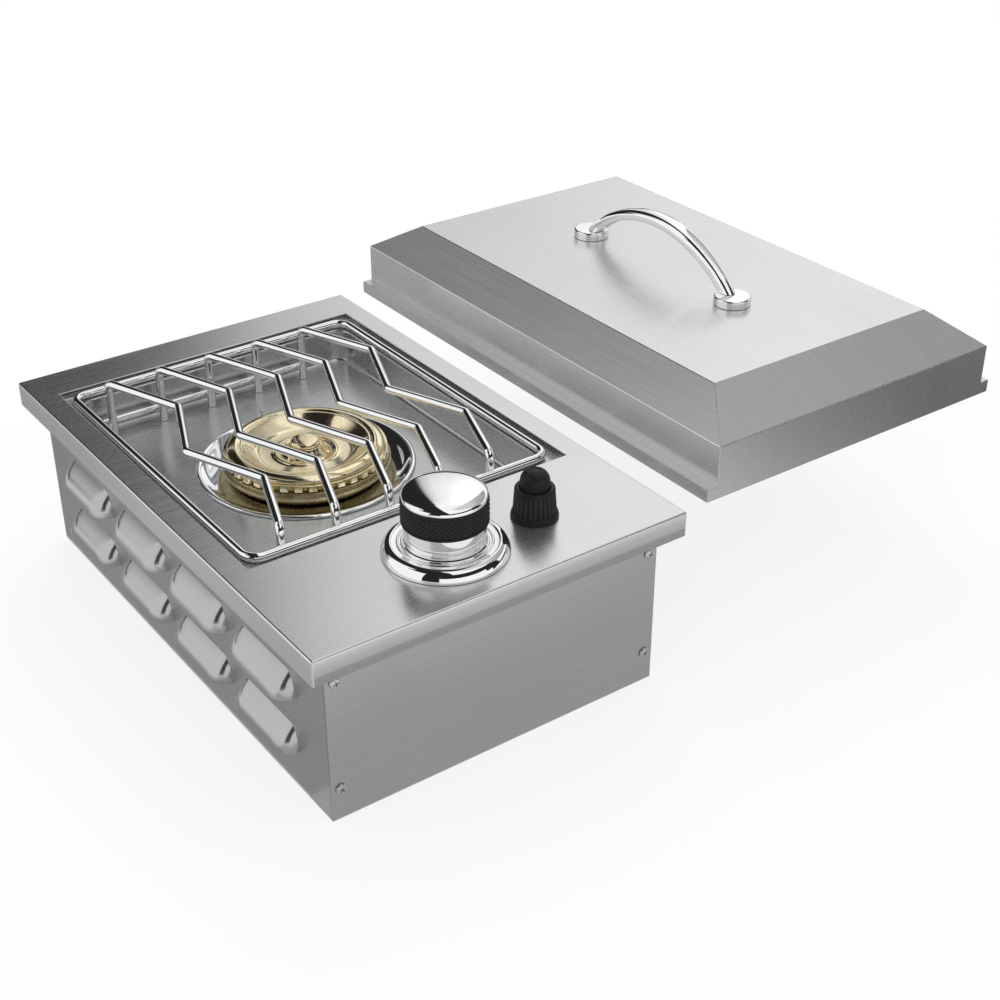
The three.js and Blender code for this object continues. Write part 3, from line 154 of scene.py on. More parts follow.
class SheetSettings(bpy.types.PropertyGroup):
    """Bends of the folded sheets and the form of the louvres."""

    fold: length("Fold radius", "Outer radius of a folded edge", 1.7)
    cut: length("Cut edge", "Rounding of a cut edge", 0.25)
    louvre_end: length("Louvre end", "Length over which a louvre's end closes", 11.5)
    louvre_rows: length("Row pitch", "From the upper row of louvres to the lower one", 47.3)
    louvre_upper: length("Upper row", "From the counter's top to the upper row's lips", 51.0)
    louvre_height: length("Louvre height", "Height of a louvre over its lip", 21.0)
    louvre_length: length("Louvre length", "Length of a louvre", 82.0)
    louvre_gap: length("Louvre gap", "Between two louvres of a row", 17.3)
    louvre_count: count("Louvres", "Louvres in a row", 4, 1)
    louvre_sheet: length("Louvre sheet", "Thickness of a louvre's sheet", 0.9)
    box_sheet: length("Box sheet", "Thickness of the box's sheet", 1.2)
    box_flange: length("Box flange", "Width of the side panels' flanges", 14.0)


class WellSettings(bpy.types.PropertyGroup):
    """Form of the well and its drip bowl."""

    ledge_drop: length("Ledge drop", "From the deck's top to the ledge", 6.8)
    ledge_side: length("Side ledge", "Width of the ledge at the sides", 12.0)
    ledge_front: length("Front ledge", "Width of the ledge at the front", 15.0)
    corner: length("Corner radius", "Radius of the well's corners", 14.0)
    press: length("Press radius", "Radius between the well's wall and floor", 5.0)
    bowl_wall: length("Bowl wall", "Radius of the bowl's wall", 83.0)
    bowl_slope: length("Bowl slope", "Radius of the foot of the bowl's slope", 62.0)
    bowl_hole: length("Bowl hole", "Radius of the bowl's hole", 31.0)
    bowl_play: length("Bowl play", "Between the bowl's wall and the well's hole", 1.0)
    rim: length("Rim", "Width of the well's rim under the deck", 2.2)
    lip: length("Lip radius", "Radius at both edges of the ledge", 1.6)
    sheet: length("Sheet", "Thickness of the well's sheet", 1.0)


class ControlSettings(bpy.types.PropertyGroup):
    """The knob's knurl and the igniter's ribs."""

    knurl_depth: length("Knurl depth", "Height of a diamond of the knurl", 0.9)
    knurl_rows: count("Knurl rows", "Rows of diamonds on the grip", 4, 2)
    knurl_round: count("Knurl round", "Diamonds round the grip", 44, 8)
    skirt: length("Skirt radius", "Radius of the knob's chrome skirt", 29.9)
    ribs: count("Ribs", "Ribs round the igniter's collar", 26, 8)
    rib_depth: length("Rib depth", "How far a rib stands out", 0.75)
    rib_width: length("Rib width", "Width of a rib", 2.3)
    spring_wire: length("Spring wire", "Half the thickness of the springs' wire", 0.6)
    knob_turns: count("Knob spring turns", "Turns of the spring under the knob", 4, 2)
    button_turns: count("Button spring turns", "Turns of the spring under the button", 6, 2)


class BurnerSettings(bpy.types.PropertyGroup):
    """Ports and petals of the burner."""

    ports: count("Ports", "Ports round the burner's ring", 36, 8)
    petals: count("Petals", "Claws round the hub of the crown", 6, 3)
    crown_lip: length("Crown lip", "Width of the crown's rolled rim", 17.0)
    hub: length("Hub radius", "Radius of the crown's hub", 13.2)


class GrateSettings(bpy.types.PropertyGroup):
    """Rods of the grate."""

    frame_rod: length("Frame rod", "Radius of the frame's rod", 3.5)
    finger_rod: length("Finger rod", "Radius of a finger's rod", 3.6)
    frame_bend: length("Frame bend", "Radius of the frame's corners", 12.0)
    finger_bend: length("Finger bend", "Radius of a finger's bends", 6.0)
    first_corner: share("First corner", "Of a finger's run, where it first turns", 0.259)
    second_corner: share("Second corner", "Of a finger's run, where it turns back", 0.511)
    third_corner: share("Third corner", "Of a finger's run, where it turns again", 0.762)
    end_swing: length("End swing", "Of a finger's front end, from its middle line", 10.5)


class LidSettings(bpy.types.PropertyGroup):
    """Form of the lid and its handle."""

    step_width: length("Step width", "Width of the step along the lid's sides", 9.6)
    step_height: length("Step height", "Height of the step along the lid's sides", 11.0)
    skirt_top: length("Skirt top", "Height at which the slopes begin", 45.5)
    side_run: length("Side run", "Run of the side slopes", 33.1)
    front_run: length("Front run", "Run of the front slope", 45.6)
    rear_run: length("Rear run", "Run of the rear slope", 42.8)
    sheet: length("Sheet", "Thickness of the lid's sheet", 1.0)
    seam: length("Seam", "Gap between the lid's sheets", 0.55)
    pad_spacing: length("Pad spacing", "Between the middles of the handle's pads", 193.5)
    handle_rise: length("Handle rise", "Rise of the handle's underside over the pads", 33.4)
    handle_inset: length("Handle inset", "From the pads' middles to the ends of the handle's underside", 12.5)
    handle_width: length("Handle width", "Width of the handle at its middle", 16.0)
    handle_thick: length("Handle thickness", "Height of the handle's sides", 8.2)
    handle_crown: length("Handle crown", "Crown of the handle over its sides", 1.6)
    tip_width: share("Tip width", "Of the handle's width, at its tips", 0.7)


class StageSettings(bpy.types.PropertyGroup):
    """Light and camera."""

    lens: number("Lens", "Focal length of the camera, in millimetres", 58.86)
    azimuth: number("Azimuth", "The camera's turn round the part", math.radians(-35.847), subtype="ANGLE")
    elevation: number("Elevation", "The camera's height angle", math.radians(30.659), subtype="ANGLE")
    spot: FloatVectorProperty(
        name="Spot", description="Where the camera stands", default=(-0.5577, -1.0038, 0.6434), unit="LENGTH"
    )
    sky: number("Sky", "Strength of the soft light from all sides", 0.72)
    key: number("Key lamp", "Power of the large soft lamp, in watts", 14.0)
    fill: number("Fill lamp", "Power of the fill lamp, in watts", 6.0)


SETTINGS = {
    "burner_finish": FinishSettings,
    "burner_sheet": SheetSettings,
    "burner_well": WellSettings,
    "burner_control": ControlSettings,
    "burner_head": BurnerSettings,
    "burner_grate": GrateSettings,
    "burner_lid": LidSettings,
    "burner_stage": StageSettings,
}


def settings(name):
    """The group of settings of that name on the scene."""
    return getattr(bpy.context.scene, name)


# Materials


class Finish:
    """A material with one principled shader, built up from patterns on the object's own coordinates."""

    def __init__(self, name, base, roughness, metallic=0.0, **sockets):
        self.material = bpy.data.materials.new(name)
        self.material.use_nodes = True
        self.tree = self.material.node_tree
        self.shader = self.tree.nodes["Principled BSDF"]
        self.base = base
        self.shader.inputs["Base Color"].default_value = (*base, 1.0)
        self.shader.inputs["Roughness"].default_value = roughness
        self.shader.inputs["Metallic"].default_value = metallic
        for socket, value in sockets.items():
            self.shader.inputs[socket.replace("_", " ")].default_value = value
        self.place = self.node("ShaderNodeTexCoord").outputs["Object"]
        self.last_tint = None
        self.last_normal = None

    def node(self, kind, **values):
        """A new node with some of its properties set."""
        made = self.tree.nodes.new(kind)
        for name, value in values.items():
            setattr(made, name, value)
        return made

    def link(self, output, socket):
        """Joins an output to an input."""
        self.tree.links.new(output, socket)

    def noise(self, size, detail=4.0, rough=0.55, stretch=(1.0, 1.0, 1.0)):
        """Cloudy noise whose features have that size in metres, drawn out along an axis by its stretch."""
        mapping = self.node("ShaderNodeMapping")
        mapping.inputs["Scale"].default_value = [1.0 / (size * along) for along in stretch]
        self.link(self.place, mapping.inputs["Vector"])
        noise = self.node("ShaderNodeTexNoise")
        noise.inputs["Scale"].default_value = 1.0
        noise.inputs["Detail"].default_value = detail
        noise.inputs["Roughness"].default_value = rough
        self.link(mapping.outputs["Vector"], noise.inputs["Vector"])
        return noise.outputs["Fac"]

    def cracks(self, size):
        """Distance from the cracks between cells that have that size in metres."""
        cells = self.node("ShaderNodeTexVoronoi", feature="DISTANCE_TO_EDGE")
        cells.inputs["Scale"].default_value = 1.0 / size
        self.link(self.place, cells.inputs["Vector"])
        return cells.outputs["Distance"]

    def edges(self, low=0.505, high=0.56):
        """One on the convex edges of the mesh, nothing elsewhere."""
        shape = self.node("ShaderNodeNewGeometry")
        return self.between(shape.outputs["Pointiness"], low, high, 0.0, 1.0)

    def between(self, pattern, low, high, to_low, to_high):
        """A pattern's values from low to high turned into values from to_low to to_high."""
        ranged = self.node("ShaderNodeMapRange")
        for socket, value in zip(("From Min", "From Max", "To Min", "To Max"), (low, high, to_low, to_high)):
            ranged.inputs[socket].default_value = value
        self.link(pattern, ranged.inputs["Value"])
        return ranged.outputs["Result"]

    def tint(self, pattern, other, low=0.35, high=0.65):
        """Mixes another colour into the base colour where the pattern is high."""
        mix = self.node("ShaderNodeMix", data_type="RGBA")
        if self.last_tint is None:
            mix.inputs["A"].default_value = (*self.base, 1.0)
        else:
            self.link(self.last_tint, mix.inputs["A"])
        mix.inputs["B"].default_value = (*other, 1.0)
        self.link(self.between(pattern, low, high, 0.0, 1.0), mix.inputs["Factor"])
        self.last_tint = mix.outputs["Result"]
        self.link(self.last_tint, self.shader.inputs["Base Color"])

    def shine(self, pattern, smooth, rough, low=0.3, high=0.7):
        """Roughness between two values, by a pattern."""
        self.link(self.between(pattern, low, high, smooth, rough), self.shader.inputs["Roughness"])

    def relief(self, pattern, depth, strength=1.0):
        """Fine relief of that depth in metres."""
        bump = self.node("ShaderNodeBump")
        bump.inputs["Strength"].default_value = strength
        bump.inputs["Distance"].default_value = depth
        self.link(pattern, bump.inputs["Height"])
        if self.last_normal is not None:
            self.link(self.last_normal, bump.inputs["Normal"])
        self.last_normal = bump.outputs["Normal"]
        self.link(self.last_normal, self.shader.inputs["Normal"])

    def across_lines(self):
        """Draws reflections out across the brushed lines, which the piece's own map follows."""
        tangent = self.node("ShaderNodeTangent", direction_type="UV_MAP", uv_map=BRUSH_MAP)
        self.link(tangent.outputs["Tangent"], self.shader.inputs["Tangent"])


def darker(base, by):
    """A colour made darker by a share of itself, or lighter below zero."""
    return tuple(min(1.0, channel * (1.0 - by)) for channel in base)


def brushed_steel(name, base, lines, marks, metallic=0.93, smoother=0.0):
    """Steel brushed along one axis: fine lines, a few longer scratches and a cloudy sheen."""
    look = settings("burner_finish")
    rough = look.brush_roughness - smoother
    steel = Finish(name, base, rough, metallic, Anisotropic=look.brush_spread - 4 * smoother)
    fine = steel.noise(look.brush_line, 4.0, 0.7, lines)
    broad = steel.noise(look.brush_line * 4, 3.0, 0.6, lines)
    clouds = steel.noise(90 * MM, 2.0, 0.5)
    steel.tint(fine, darker(base, marks), 0.4, 0.7)
    steel.tint(broad, darker(base, -0.5 * marks), 0.45, 0.75)
    steel.tint(clouds, darker(base, 0.04), 0.45, 0.7)
    steel.shine(broad, rough - 0.03, rough + 0.04)
    steel.relief(fine, 0.003 * MM, 0.15)
    steel.across_lines()
    return steel.material


def polished_chrome(name, base, rough=0.035):
    """Chrome with the faintest swirl marks and haze."""
    chrome = Finish(name, base, rough, 1.0)
    haze = chrome.noise(14 * MM, 3.0)
    marks = chrome.noise(0.5 * MM, 2.0, 0.6, (1.0, 6.0, 1.0))
    chrome.tint(haze, darker(base, 0.04), 0.45, 0.75)
    chrome.shine(haze, rough * 0.6, rough * 1.8)
    chrome.relief(marks, 0.0006 * MM, 0.12)
    return chrome.material


def turned_metal(name, base, rough, speck=0.8):
    """Metal with a satin surface: faint mottling, specks and bright edges."""
    metal = Finish(name, base, rough, 1.0)
    mottle = metal.noise(9 * MM, 4.0)
    specks = metal.noise(speck * MM, 3.0, 0.6)
    metal.tint(mottle, darker(base, 0.18), 0.42, 0.72)
    metal.tint(metal.edges(), darker(base, -0.25), 0.0, 1.0)
    metal.shine(specks, rough - 0.08, rough + 0.1)
    metal.relief(specks, 0.01 * MM, 0.3)
    return metal.material


def burner_brass(name, base, rough, heat):
    """Polished brass, tarnished by heat in soft clouds."""
    brass = Finish(name, base, rough, 1.0)
    tarnish = brass.noise(26 * MM, 4.0, 0.6)
    streaks = brass.noise(2.2 * MM, 3.0, 0.6, (1.0, 1.0, 4.0))
    brass.tint(tarnish, heat, 0.46, 0.78)
    brass.tint(streaks, darker(base, 0.14), 0.5, 0.8)
    brass.shine(streaks, rough * 0.7, rough * 1.6)
    brass.relief(streaks, 0.006 * MM, 0.3)
    return brass.material


def moulded_black(name, base, rough, grain, worn):
    """Black rubber or plastic with a moulded grain and paler worn edges."""
    black = Finish(name, base, rough, 0.0, Specular_IOR_Level=0.2)
    clouds = black.noise(11 * MM, 3.0)
    pits = black.noise(grain, 3.0, 0.65)
    black.tint(clouds, darker(base, -0.45), 0.4, 0.75)
    black.tint(black.edges(), worn, 0.0, 1.0)
    black.shine(pits, rough - 0.08, rough + 0.12)
    black.relief(pits, 0.03 * MM, 0.5)
    return black.material


def glazed_ceramic(name, base):
    """Glazed ceramic with a faint crackle and a warm tone."""
    glaze = Finish(name, base, 0.22, 0.0, Coat_Weight=0.5)
    crackle = glaze.cracks(3.5 * MM)
    warm = glaze.noise(6 * MM, 3.0)
    glaze.tint(warm, (0.78, 0.71, 0.58), 0.5, 0.85)
    glaze.shine(warm, 0.16, 0.34)
    glaze.relief(crackle, 0.02 * MM, 0.2)
    return glaze.material


def printed_sleeve(name, base):
    """A battery's shrink sleeve with a soft sheen and small creases."""
    sleeve = Finish(name, base, 0.35, 0.25)
    creases = sleeve.noise(4 * MM, 4.0, 0.6, (1.0, 1.0, 3.0))
    sleeve.tint(creases, darker(base, -0.5), 0.5, 0.8)
    sleeve.shine(creases, 0.28, 0.45)
    sleeve.relief(creases, 0.05 * MM, 0.3)
    return sleeve.material


ALONG_X = (180.0, 1.0, 1.0)
ALONG_Y = (1.0, 180.0, 1.0)
DOWN_END = (1.0, 180.0, 180.0)
materials = {}


def make_materials():
    """All finishes of the part, by name."""
    look = settings("burner_finish")
    names = [name for name in FinishSettings.__annotations__ if not name.startswith("brush_")]
    colours = {name: tuple(getattr(look, name)) for name in names}
    steels = {
        "deck_across": ("deck_steel", ALONG_X, 0.06),
        "deck_along": ("deck_steel", ALONG_Y, 0.05),
        # The box and louvre finishes take the box steel, whose darker tone is painted shade.
        "box_across": ("box_steel", ALONG_X, 0.10),
        "box_along": ("box_steel", ALONG_Y, 0.07),
        "well_across": ("well_steel", ALONG_X, 0.05),
        "lid_along": ("lid_steel", ALONG_Y, 0.05),
        # The end faces' darker steel is painted shade.
        "lid_down": ("end_steel", DOWN_END, 0.06),
        "lid_side": ("lid_steel", ALONG_Y, 0.07, 0.72),
        "louvre": ("box_steel", ALONG_Y, 0.05, 0.9, 0.08),
    }
    for name, (base, *rest) in steels.items():
        materials[name] = brushed_steel(name, colours[base], *rest)
    others = {
        "bright_fold": (polished_chrome, "deck_steel", 0.09),
        "chrome": (polished_chrome, "chrome"),
        "bowl_chrome": (polished_chrome, "chrome", 0.03),
        "zinc": (turned_metal, "zinc", 0.32),
        "fitting_brass": (turned_metal, "fitting_brass", 0.28),
        "aluminium": (turned_metal, "aluminium", 0.42, 1.4),
        "crown_brass": (burner_brass, "crown_brass", 0.10, (0.80, 0.62, 0.34)),
        "base_brass": (burner_brass, "base_brass", 0.26, (0.26, 0.20, 0.11)),
        "grip_rubber": (moulded_black, "grip_rubber", 0.55, 0.5 * MM, (0.03, 0.031, 0.032)),
        "igniter_plastic": (moulded_black, "igniter_plastic", 0.42, 0.35 * MM, (0.03, 0.031, 0.031)),
        "ceramic": (glazed_ceramic, "ceramic"),
        "battery_sleeve": (printed_sleeve, "battery_sleeve"),
    }
    for name, (maker, base, *rest) in others.items():
        materials[name] = maker(name, colours[base], *rest)
    materials["spring_wire"] = turned_metal("spring_wire", darker(colours["zinc"], 0.3), 0.3, 0.4)


def paint(names, material):
    """Gives solids that stay in view their finish."""
    for name in names:
        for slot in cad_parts[name].material_slots:
            slot.material = materials[material]


# Meshes


def turns(sides, start=0.0):
    """Equal angles round a circle."""
    return [start + TURN * k / sides for k in range(sides)]


def quarter(steps):
    """Sine and cosine at equal steps through a quarter turn."""
    angles = [math.radians(90 * k / steps) for k in range(steps + 1)]
    return [(math.sin(angle), math.cos(angle)) for angle in angles]


def soften(points, steps=5):
    """Rounds the corners of a closed outline that carry a third value, the length of the rounding."""
    rounded = []
    for i, point in enumerate(points):
        here = Vector(point[:2])
        if len(point) < 3:
            rounded.append(here)
            continue
        before = Vector(points[i - 1][:2]) - here
        after = Vector(points[(i + 1) % len(points)][:2]) - here
        start = here + before.normalized() * min(point[2], before.length / 2)
        end = here + after.normalized() * min(point[2], after.length / 2)
        for k in range(steps + 1):
            t = k / steps
            rounded.append(start * (1 - t) ** 2 + here * 2 * t * (1 - t) + end * t * t)
    return rounded


def lathe(profile, middle=(0.0, 0.0, 0.0), sides=96):
    """A closed solid turned about an upright axis, from an outline of radius and level in millimetres."""
    bm = bmesh.new()
    x, y, foot = middle
    rings = []
    for radius, level in soften(profile):
        reach, height = radius * MM, foot + level * MM
        if reach < WELD:
            circle = [(x, y, height)]
        else:
            circle = [
                (x + reach * math.cos(turn), y + reach * math.sin(turn), height) for turn in turns(sides)
            ]
        rings.append([bm.verts.new(point) for point in circle])
    for ring, following in zip(rings, rings[1:] + rings[:1]):
        if len(ring) == 1 and len(following) == 1:
            continue
        for k in range(sides):
            pairs = ((ring, k), (ring, k + 1), (following, k + 1), (following, k))
            bm.faces.new(list(dict.fromkeys(row[i % sides % len(row)] for row, i in pairs)))
    bmesh.ops.recalc_face_normals(bm, faces=bm.faces)
    return bm


def loft(loops):
    """Faces between closed loops with equally many points, from each one to the next."""
    bm = bmesh.new()
    rows = [[bm.verts.new(point) for point in loop] for loop in loops]
    for row, following in zip(rows, rows[1:]):
        for k in range(len(row)):
            after = (k + 1) % len(row)
            bm.faces.new([row[k], row[after], following[after], following[k]])
    return bm


def capped(loops):
    """A loft closed with a face over its first and its last loop."""
    bm = loft(loops)
    bm.verts.ensure_lookup_table()
    wide = len(loops[0])
    for start in (0, (len(loops) - 1) * wide):
        bm.faces.new(bm.verts[start:start + wide])
    bmesh.ops.recalc_face_normals(bm, faces=bm.faces)
    return bm


def box_between(bm, low, high):
    """Adds a box to a mesh."""
    xs, ys, zs = zip(low, high)
    corners = [bm.verts.new((x, y, z)) for x in xs for y in ys for z in zs]
    for face in ((0, 1, 3, 2), (4, 6, 7, 5), (0, 4, 5, 1), (2, 3, 7, 6), (0, 2, 6, 4), (1, 5, 7, 3)):
        bm.faces.new([corners[i] for i in face])


def whole_copy(node):
    """A copy of a solid with its loose triangles joined into whole faces."""
    bm = bmesh.new()
    bm.from_mesh(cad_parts[node].data)
    bmesh.ops.remove_doubles(bm, verts=bm.verts, dist=WELD)
    bmesh.ops.dissolve_limit(bm, angle_limit=math.radians(1), verts=bm.verts, edges=bm.edges)
    return bm


def sharp_edges(bm, least=25):
    """The edges where two faces meet at more than an angle in degrees."""
    limit = math.radians(least)
    return [edge for edge in bm.edges if len(edge.link_faces) == 2 and edge.calc_face_angle(0.0) > limit]


def round_edges(bm, edges, radius, steps=3):
    """Rounds edges of a mesh."""
    bmesh.ops.bevel(
        bm,
        geom=edges,
        offset=radius,
        offset_type="OFFSET",
        segments=steps,
        profile=0.5,
        affect="EDGES",
        clamp_overlap=True,
    )


def brush_map(bm, along):
    """A map whose first axis runs across the brushed lines, and its second along them."""
    layer = bm.loops.layers.uv.new(BRUSH_MAP)
    for face in bm.faces:
        line = along - face.normal * along.dot(face.normal)
        if line.length < 0.3:
            line = Vector((along.y, along.x, 0.0))
            line = line - face.normal * line.dot(face.normal)
        line.normalize()
        across = face.normal.cross(line)
        for corner in face.loops:
            corner[layer].uv = (corner.vert.co.dot(across), corner.vert.co.dot(line))


def brush_again(made, along):
    """Gives an object's mesh its brush map, in place of any map that it has."""
    bm = bmesh.new()
    bm.from_mesh(made.data)
    for layer in list(bm.loops.layers.uv):
        bm.loops.layers.uv.remove(layer)
    bm.normal_update()
    brush_map(bm, along)
    bm.to_mesh(made.data)
    bm.free()


def in_scene(name, data):
    """An object of that name for a mesh, a lamp or a camera."""
    made = bpy.data.objects.new(name, data)
    bpy.context.scene.collection.objects.link(made)
    return made


def throw_away(made):
    """Removes a helper and its mesh."""
    old = made.data
    bpy.data.objects.remove(made)
    bpy.data.meshes.remove(old)


def new_object(name, bm, used):
    """An object with the mesh and the finishes of those names."""
    mesh = bpy.data.meshes.new(name)
    bm.to_mesh(mesh)
    bm.free()
    for material in used:
        mesh.materials.append(materials[material])
    return in_scene(name, mesh)


def from_lines(name, points, edges=(), faces=()):
    """A mesh from its points, edges and faces."""
    mesh = bpy.data.meshes.new(name)
    mesh.from_pydata([tuple(point) for point in points], list(edges), list(faces))
    return mesh


def make_plain(made):
    """Turns an object's modifiers into its plain mesh."""
    graph = bpy.context.evaluated_depsgraph_get()
    result = made.evaluated_get(graph)
    mesh = bpy.data.meshes.new_from_object(result, preserve_all_data_layers=True, depsgraph=graph)
    made.modifiers.clear()
    old = made.data
    made.data = mesh
    mesh.name = made.name
    bpy.data.meshes.remove(old)
    return made


def shade(made, angle=40, weighted=False, sheet=0.0, even=False):
    """Smooth shading up to an angle in degrees.

    A surface that is a sheet gets its thickness, and flat faces are kept flat where it is weighted.
    """
    made.data.shade_smooth()
    made.data.set_sharp_from_angle(angle=math.radians(angle))
    if sheet:
        wall = made.modifiers.new("Sheet", "SOLIDIFY")
        wall.thickness = sheet
        wall.offset = -1.0
        wall.use_even_offset = even
    if weighted:
        normals = made.modifiers.new("Flat faces", "WEIGHTED_NORMAL")
        normals.keep_sharp = True
        normals.weight = 100
        make_plain(made)
    return made


def place(made, body, slot, *nodes):
    """Puts a finished piece on its body and hides the solids that it stands for. Its slot is not used."""
    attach(made, body)
    if nodes:
        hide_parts(*nodes)
    return made


def round_sizes(node):
    """The radius and height of a round solid in millimetres, and the middle of its foot in metres."""
    low, high, middle = span(node)
    return (high.x - low.x) / 2 / MM, (high.z - low.z) / MM, (middle.x, middle.y, low.z)


def turned(name, node, profile, material, sides=96):
    """A turned mesh that stands where a round solid stands."""
    return new_object(name, lathe(profile, round_sizes(node)[2], sides), [material])


def add_turned(name, node, profile, material, body, slot, sides=96):
    """A turned piece in place of a round solid, finished and placed."""
    return place(shade(turned(name, node, profile, material, sides)), body, slot, node)


def join_meshes(name, *parts):
    """One object out of several, with their finishes."""
    used = []
    bm = bmesh.new()
    for part in parts:
        before = len(bm.faces)
        bm.from_mesh(part.data)
        bm.faces.ensure_lookup_table()
        order = []
        for material in part.data.materials:
            if material not in used:
                used.append(material)
            order.append(used.index(material))
        for face in bm.faces[before:]:
            face.material_index = order[min(face.material_index, len(order) - 1)]
    for part in parts:
        throw_away(part)
    joined = new_object(name, bm, [])
    for material in used:
        joined.data.materials.append(material)
    return joined


# Geometry node trees


def new_tree(name, inputs):
    """An empty tree for a modifier, with its named inputs."""
    tree = bpy.data.node_groups.new(name, "GeometryNodeTree")
    tree.is_modifier = True
    tree.interface.new_socket(name="Geometry", in_out="INPUT", socket_type="NodeSocketGeometry")
    for label, kind in inputs:
        tree.interface.new_socket(name=label, in_out="INPUT", socket_type=kind)
    tree.interface.new_socket(name="Geometry", in_out="OUTPUT", socket_type="NodeSocketGeometry")
    return tree, tree.nodes.new("NodeGroupInput"), tree.nodes.new("NodeGroupOutput")


def connect(tree, *pairs):
    """Links each output to its input."""
    for output, socket in pairs:
        tree.links.new(output, socket)


def finish_tree(tree, last, entry, leave):
    """Ends a tree with real faces that carry the tree's finish."""
    real = tree.nodes.new("GeometryNodeRealizeInstances")
    dress = tree.nodes.new("GeometryNodeSetMaterial")
    connect(
        tree,
        (last, real.inputs["Geometry"]),
        (real.outputs["Geometry"], dress.inputs["Geometry"]),
        (entry.outputs["Finish"], dress.inputs["Material"]),
        (dress.outputs["Geometry"], leave.inputs["Geometry"]),
    )


def rod_tree():
    """Round rod along a line of edges, with its corners bent."""
    tree, entry, leave = new_tree(
        "Bent rod",
        [
            ("Rod radius", "NodeSocketFloat"),
            ("Bend radius", "NodeSocketFloat"),
            ("Bend steps", "NodeSocketInt"),
            ("Sides", "NodeSocketInt"),
            ("Finish", "NodeSocketMaterial"),
        ],
    )
    line = tree.nodes.new("GeometryNodeMeshToCurve")
    bend = tree.nodes.new("GeometryNodeFilletCurve")
    if hasattr(bend, "mode"):
        bend.mode = "POLY"
    bend.inputs["Limit Radius"].default_value = True
    section = tree.nodes.new("GeometryNodeCurvePrimitiveCircle")
    sweep = tree.nodes.new("GeometryNodeCurveToMesh")
    sweep.inputs["Fill Caps"].default_value = True
    connect(
        tree,
        (entry.outputs["Geometry"], line.inputs["Mesh"]),
        (line.outputs["Curve"], bend.inputs["Curve"]),
        (entry.outputs["Bend steps"], bend.inputs["Count"]),
        (entry.outputs["Bend radius"], bend.inputs["Radius"]),
        (entry.outputs["Sides"], section.inputs["Resolution"]),
        (entry.outputs["Rod radius"], section.inputs["Radius"]),
        (bend.outputs["Curve"], sweep.inputs["Curve"]),
        (section.outputs["Curve"], sweep.inputs["Profile Curve"]),
    )
    finish_tree(tree, sweep.outputs["Mesh"], entry, leave)
    return tree


def repeat_tree():
    """A shape set at each point, turned by the point's own angles."""
    tree, entry, leave = new_tree(
        "Repeated shape", [("Shape", "NodeSocketObject"), ("Finish", "NodeSocketMaterial")]
    )
    shape = tree.nodes.new("GeometryNodeObjectInfo")
    angles = tree.nodes.new("GeometryNodeInputNamedAttribute")
    angles.data_type = "FLOAT_VECTOR"
    angles.inputs["Name"].default_value = "angles"
    rotation = tree.nodes.new("FunctionNodeEulerToRotation")
    spread = tree.nodes.new("GeometryNodeInstanceOnPoints")
    connect(
        tree,
        (entry.outputs["Geometry"], spread.inputs["Points"]),
        (entry.outputs["Shape"], shape.inputs["Object"]),
        (shape.outputs["Geometry"], spread.inputs["Instance"]),
        (angles.outputs["Attribute"], rotation.inputs["Euler"]),
        (rotation.outputs["Rotation"], spread.inputs["Rotation"]),
    )
    finish_tree(tree, spread.outputs["Instances"], entry, leave)
    return tree


trees = {}


def run_tree(made, tree_name, **values):
    """Runs a tree on an object with its inputs set, and keeps the result as a plain mesh."""
    builders = {"rod": rod_tree, "repeat": repeat_tree}
    if tree_name not in trees:
        trees[tree_name] = builders[tree_name]()
    tree = trees[tree_name]
    modifier = made.modifiers.new(tree.name, "NODES")
    modifier.node_group = tree
    wanted = {label.replace("_", " ").capitalize(): value for label, value in values.items()}
    for item in tree.interface.items_tree:
        if item.in_out == "INPUT" and item.name in wanted:
            modifier[item.identifier] = wanted[item.name]
    return make_plain(made)


def rods(name, lines, radius, bend, material, steps=6, sides=20, closed=False):
    """Bent rods along lines of corners."""
    corners = []
    edges = []
    for line in lines:
        start = len(corners)
        corners.extend(line)
        edges.extend((start + i, start + i + 1) for i in range(len(line) - 1))
        if closed:
            edges.append((start + len(line) - 1, start))
    made = in_scene(name, from_lines(name, corners, edges))
    inputs = {"rod_radius": radius, "bend_radius": bend, "bend_steps": steps, "sides": sides}
    return shade(run_tree(made, "rod", finish=materials[material], **inputs))


def repeated(name, shape, places, material):
    """A shape repeated at places, each given as a point and its angles. The single shape is used up."""
    mesh = from_lines(name, [point for point, _ in places])
    angles = mesh.attributes.new("angles", "FLOAT_VECTOR", "POINT")
    for item, (_, turn) in zip(angles.data, places):
        item.vector = turn
    made = run_tree(in_scene(name, mesh), "repeat", shape=shape, finish=materials[material])
    throw_away(shape)
    return made


def ring_places(middle, radius, level, sides, start=0.0, tilt=0.0):
    """Places round an upright axis, each with its X axis pointing outwards."""
    return [
        (
            Vector((middle[0] + radius * math.cos(turn), middle[1] + radius * math.sin(turn), level)),
            Euler((0.0, tilt, turn)),
        )
        for turn in turns(sides, start)
    ]


# Deck, box and lid sheets


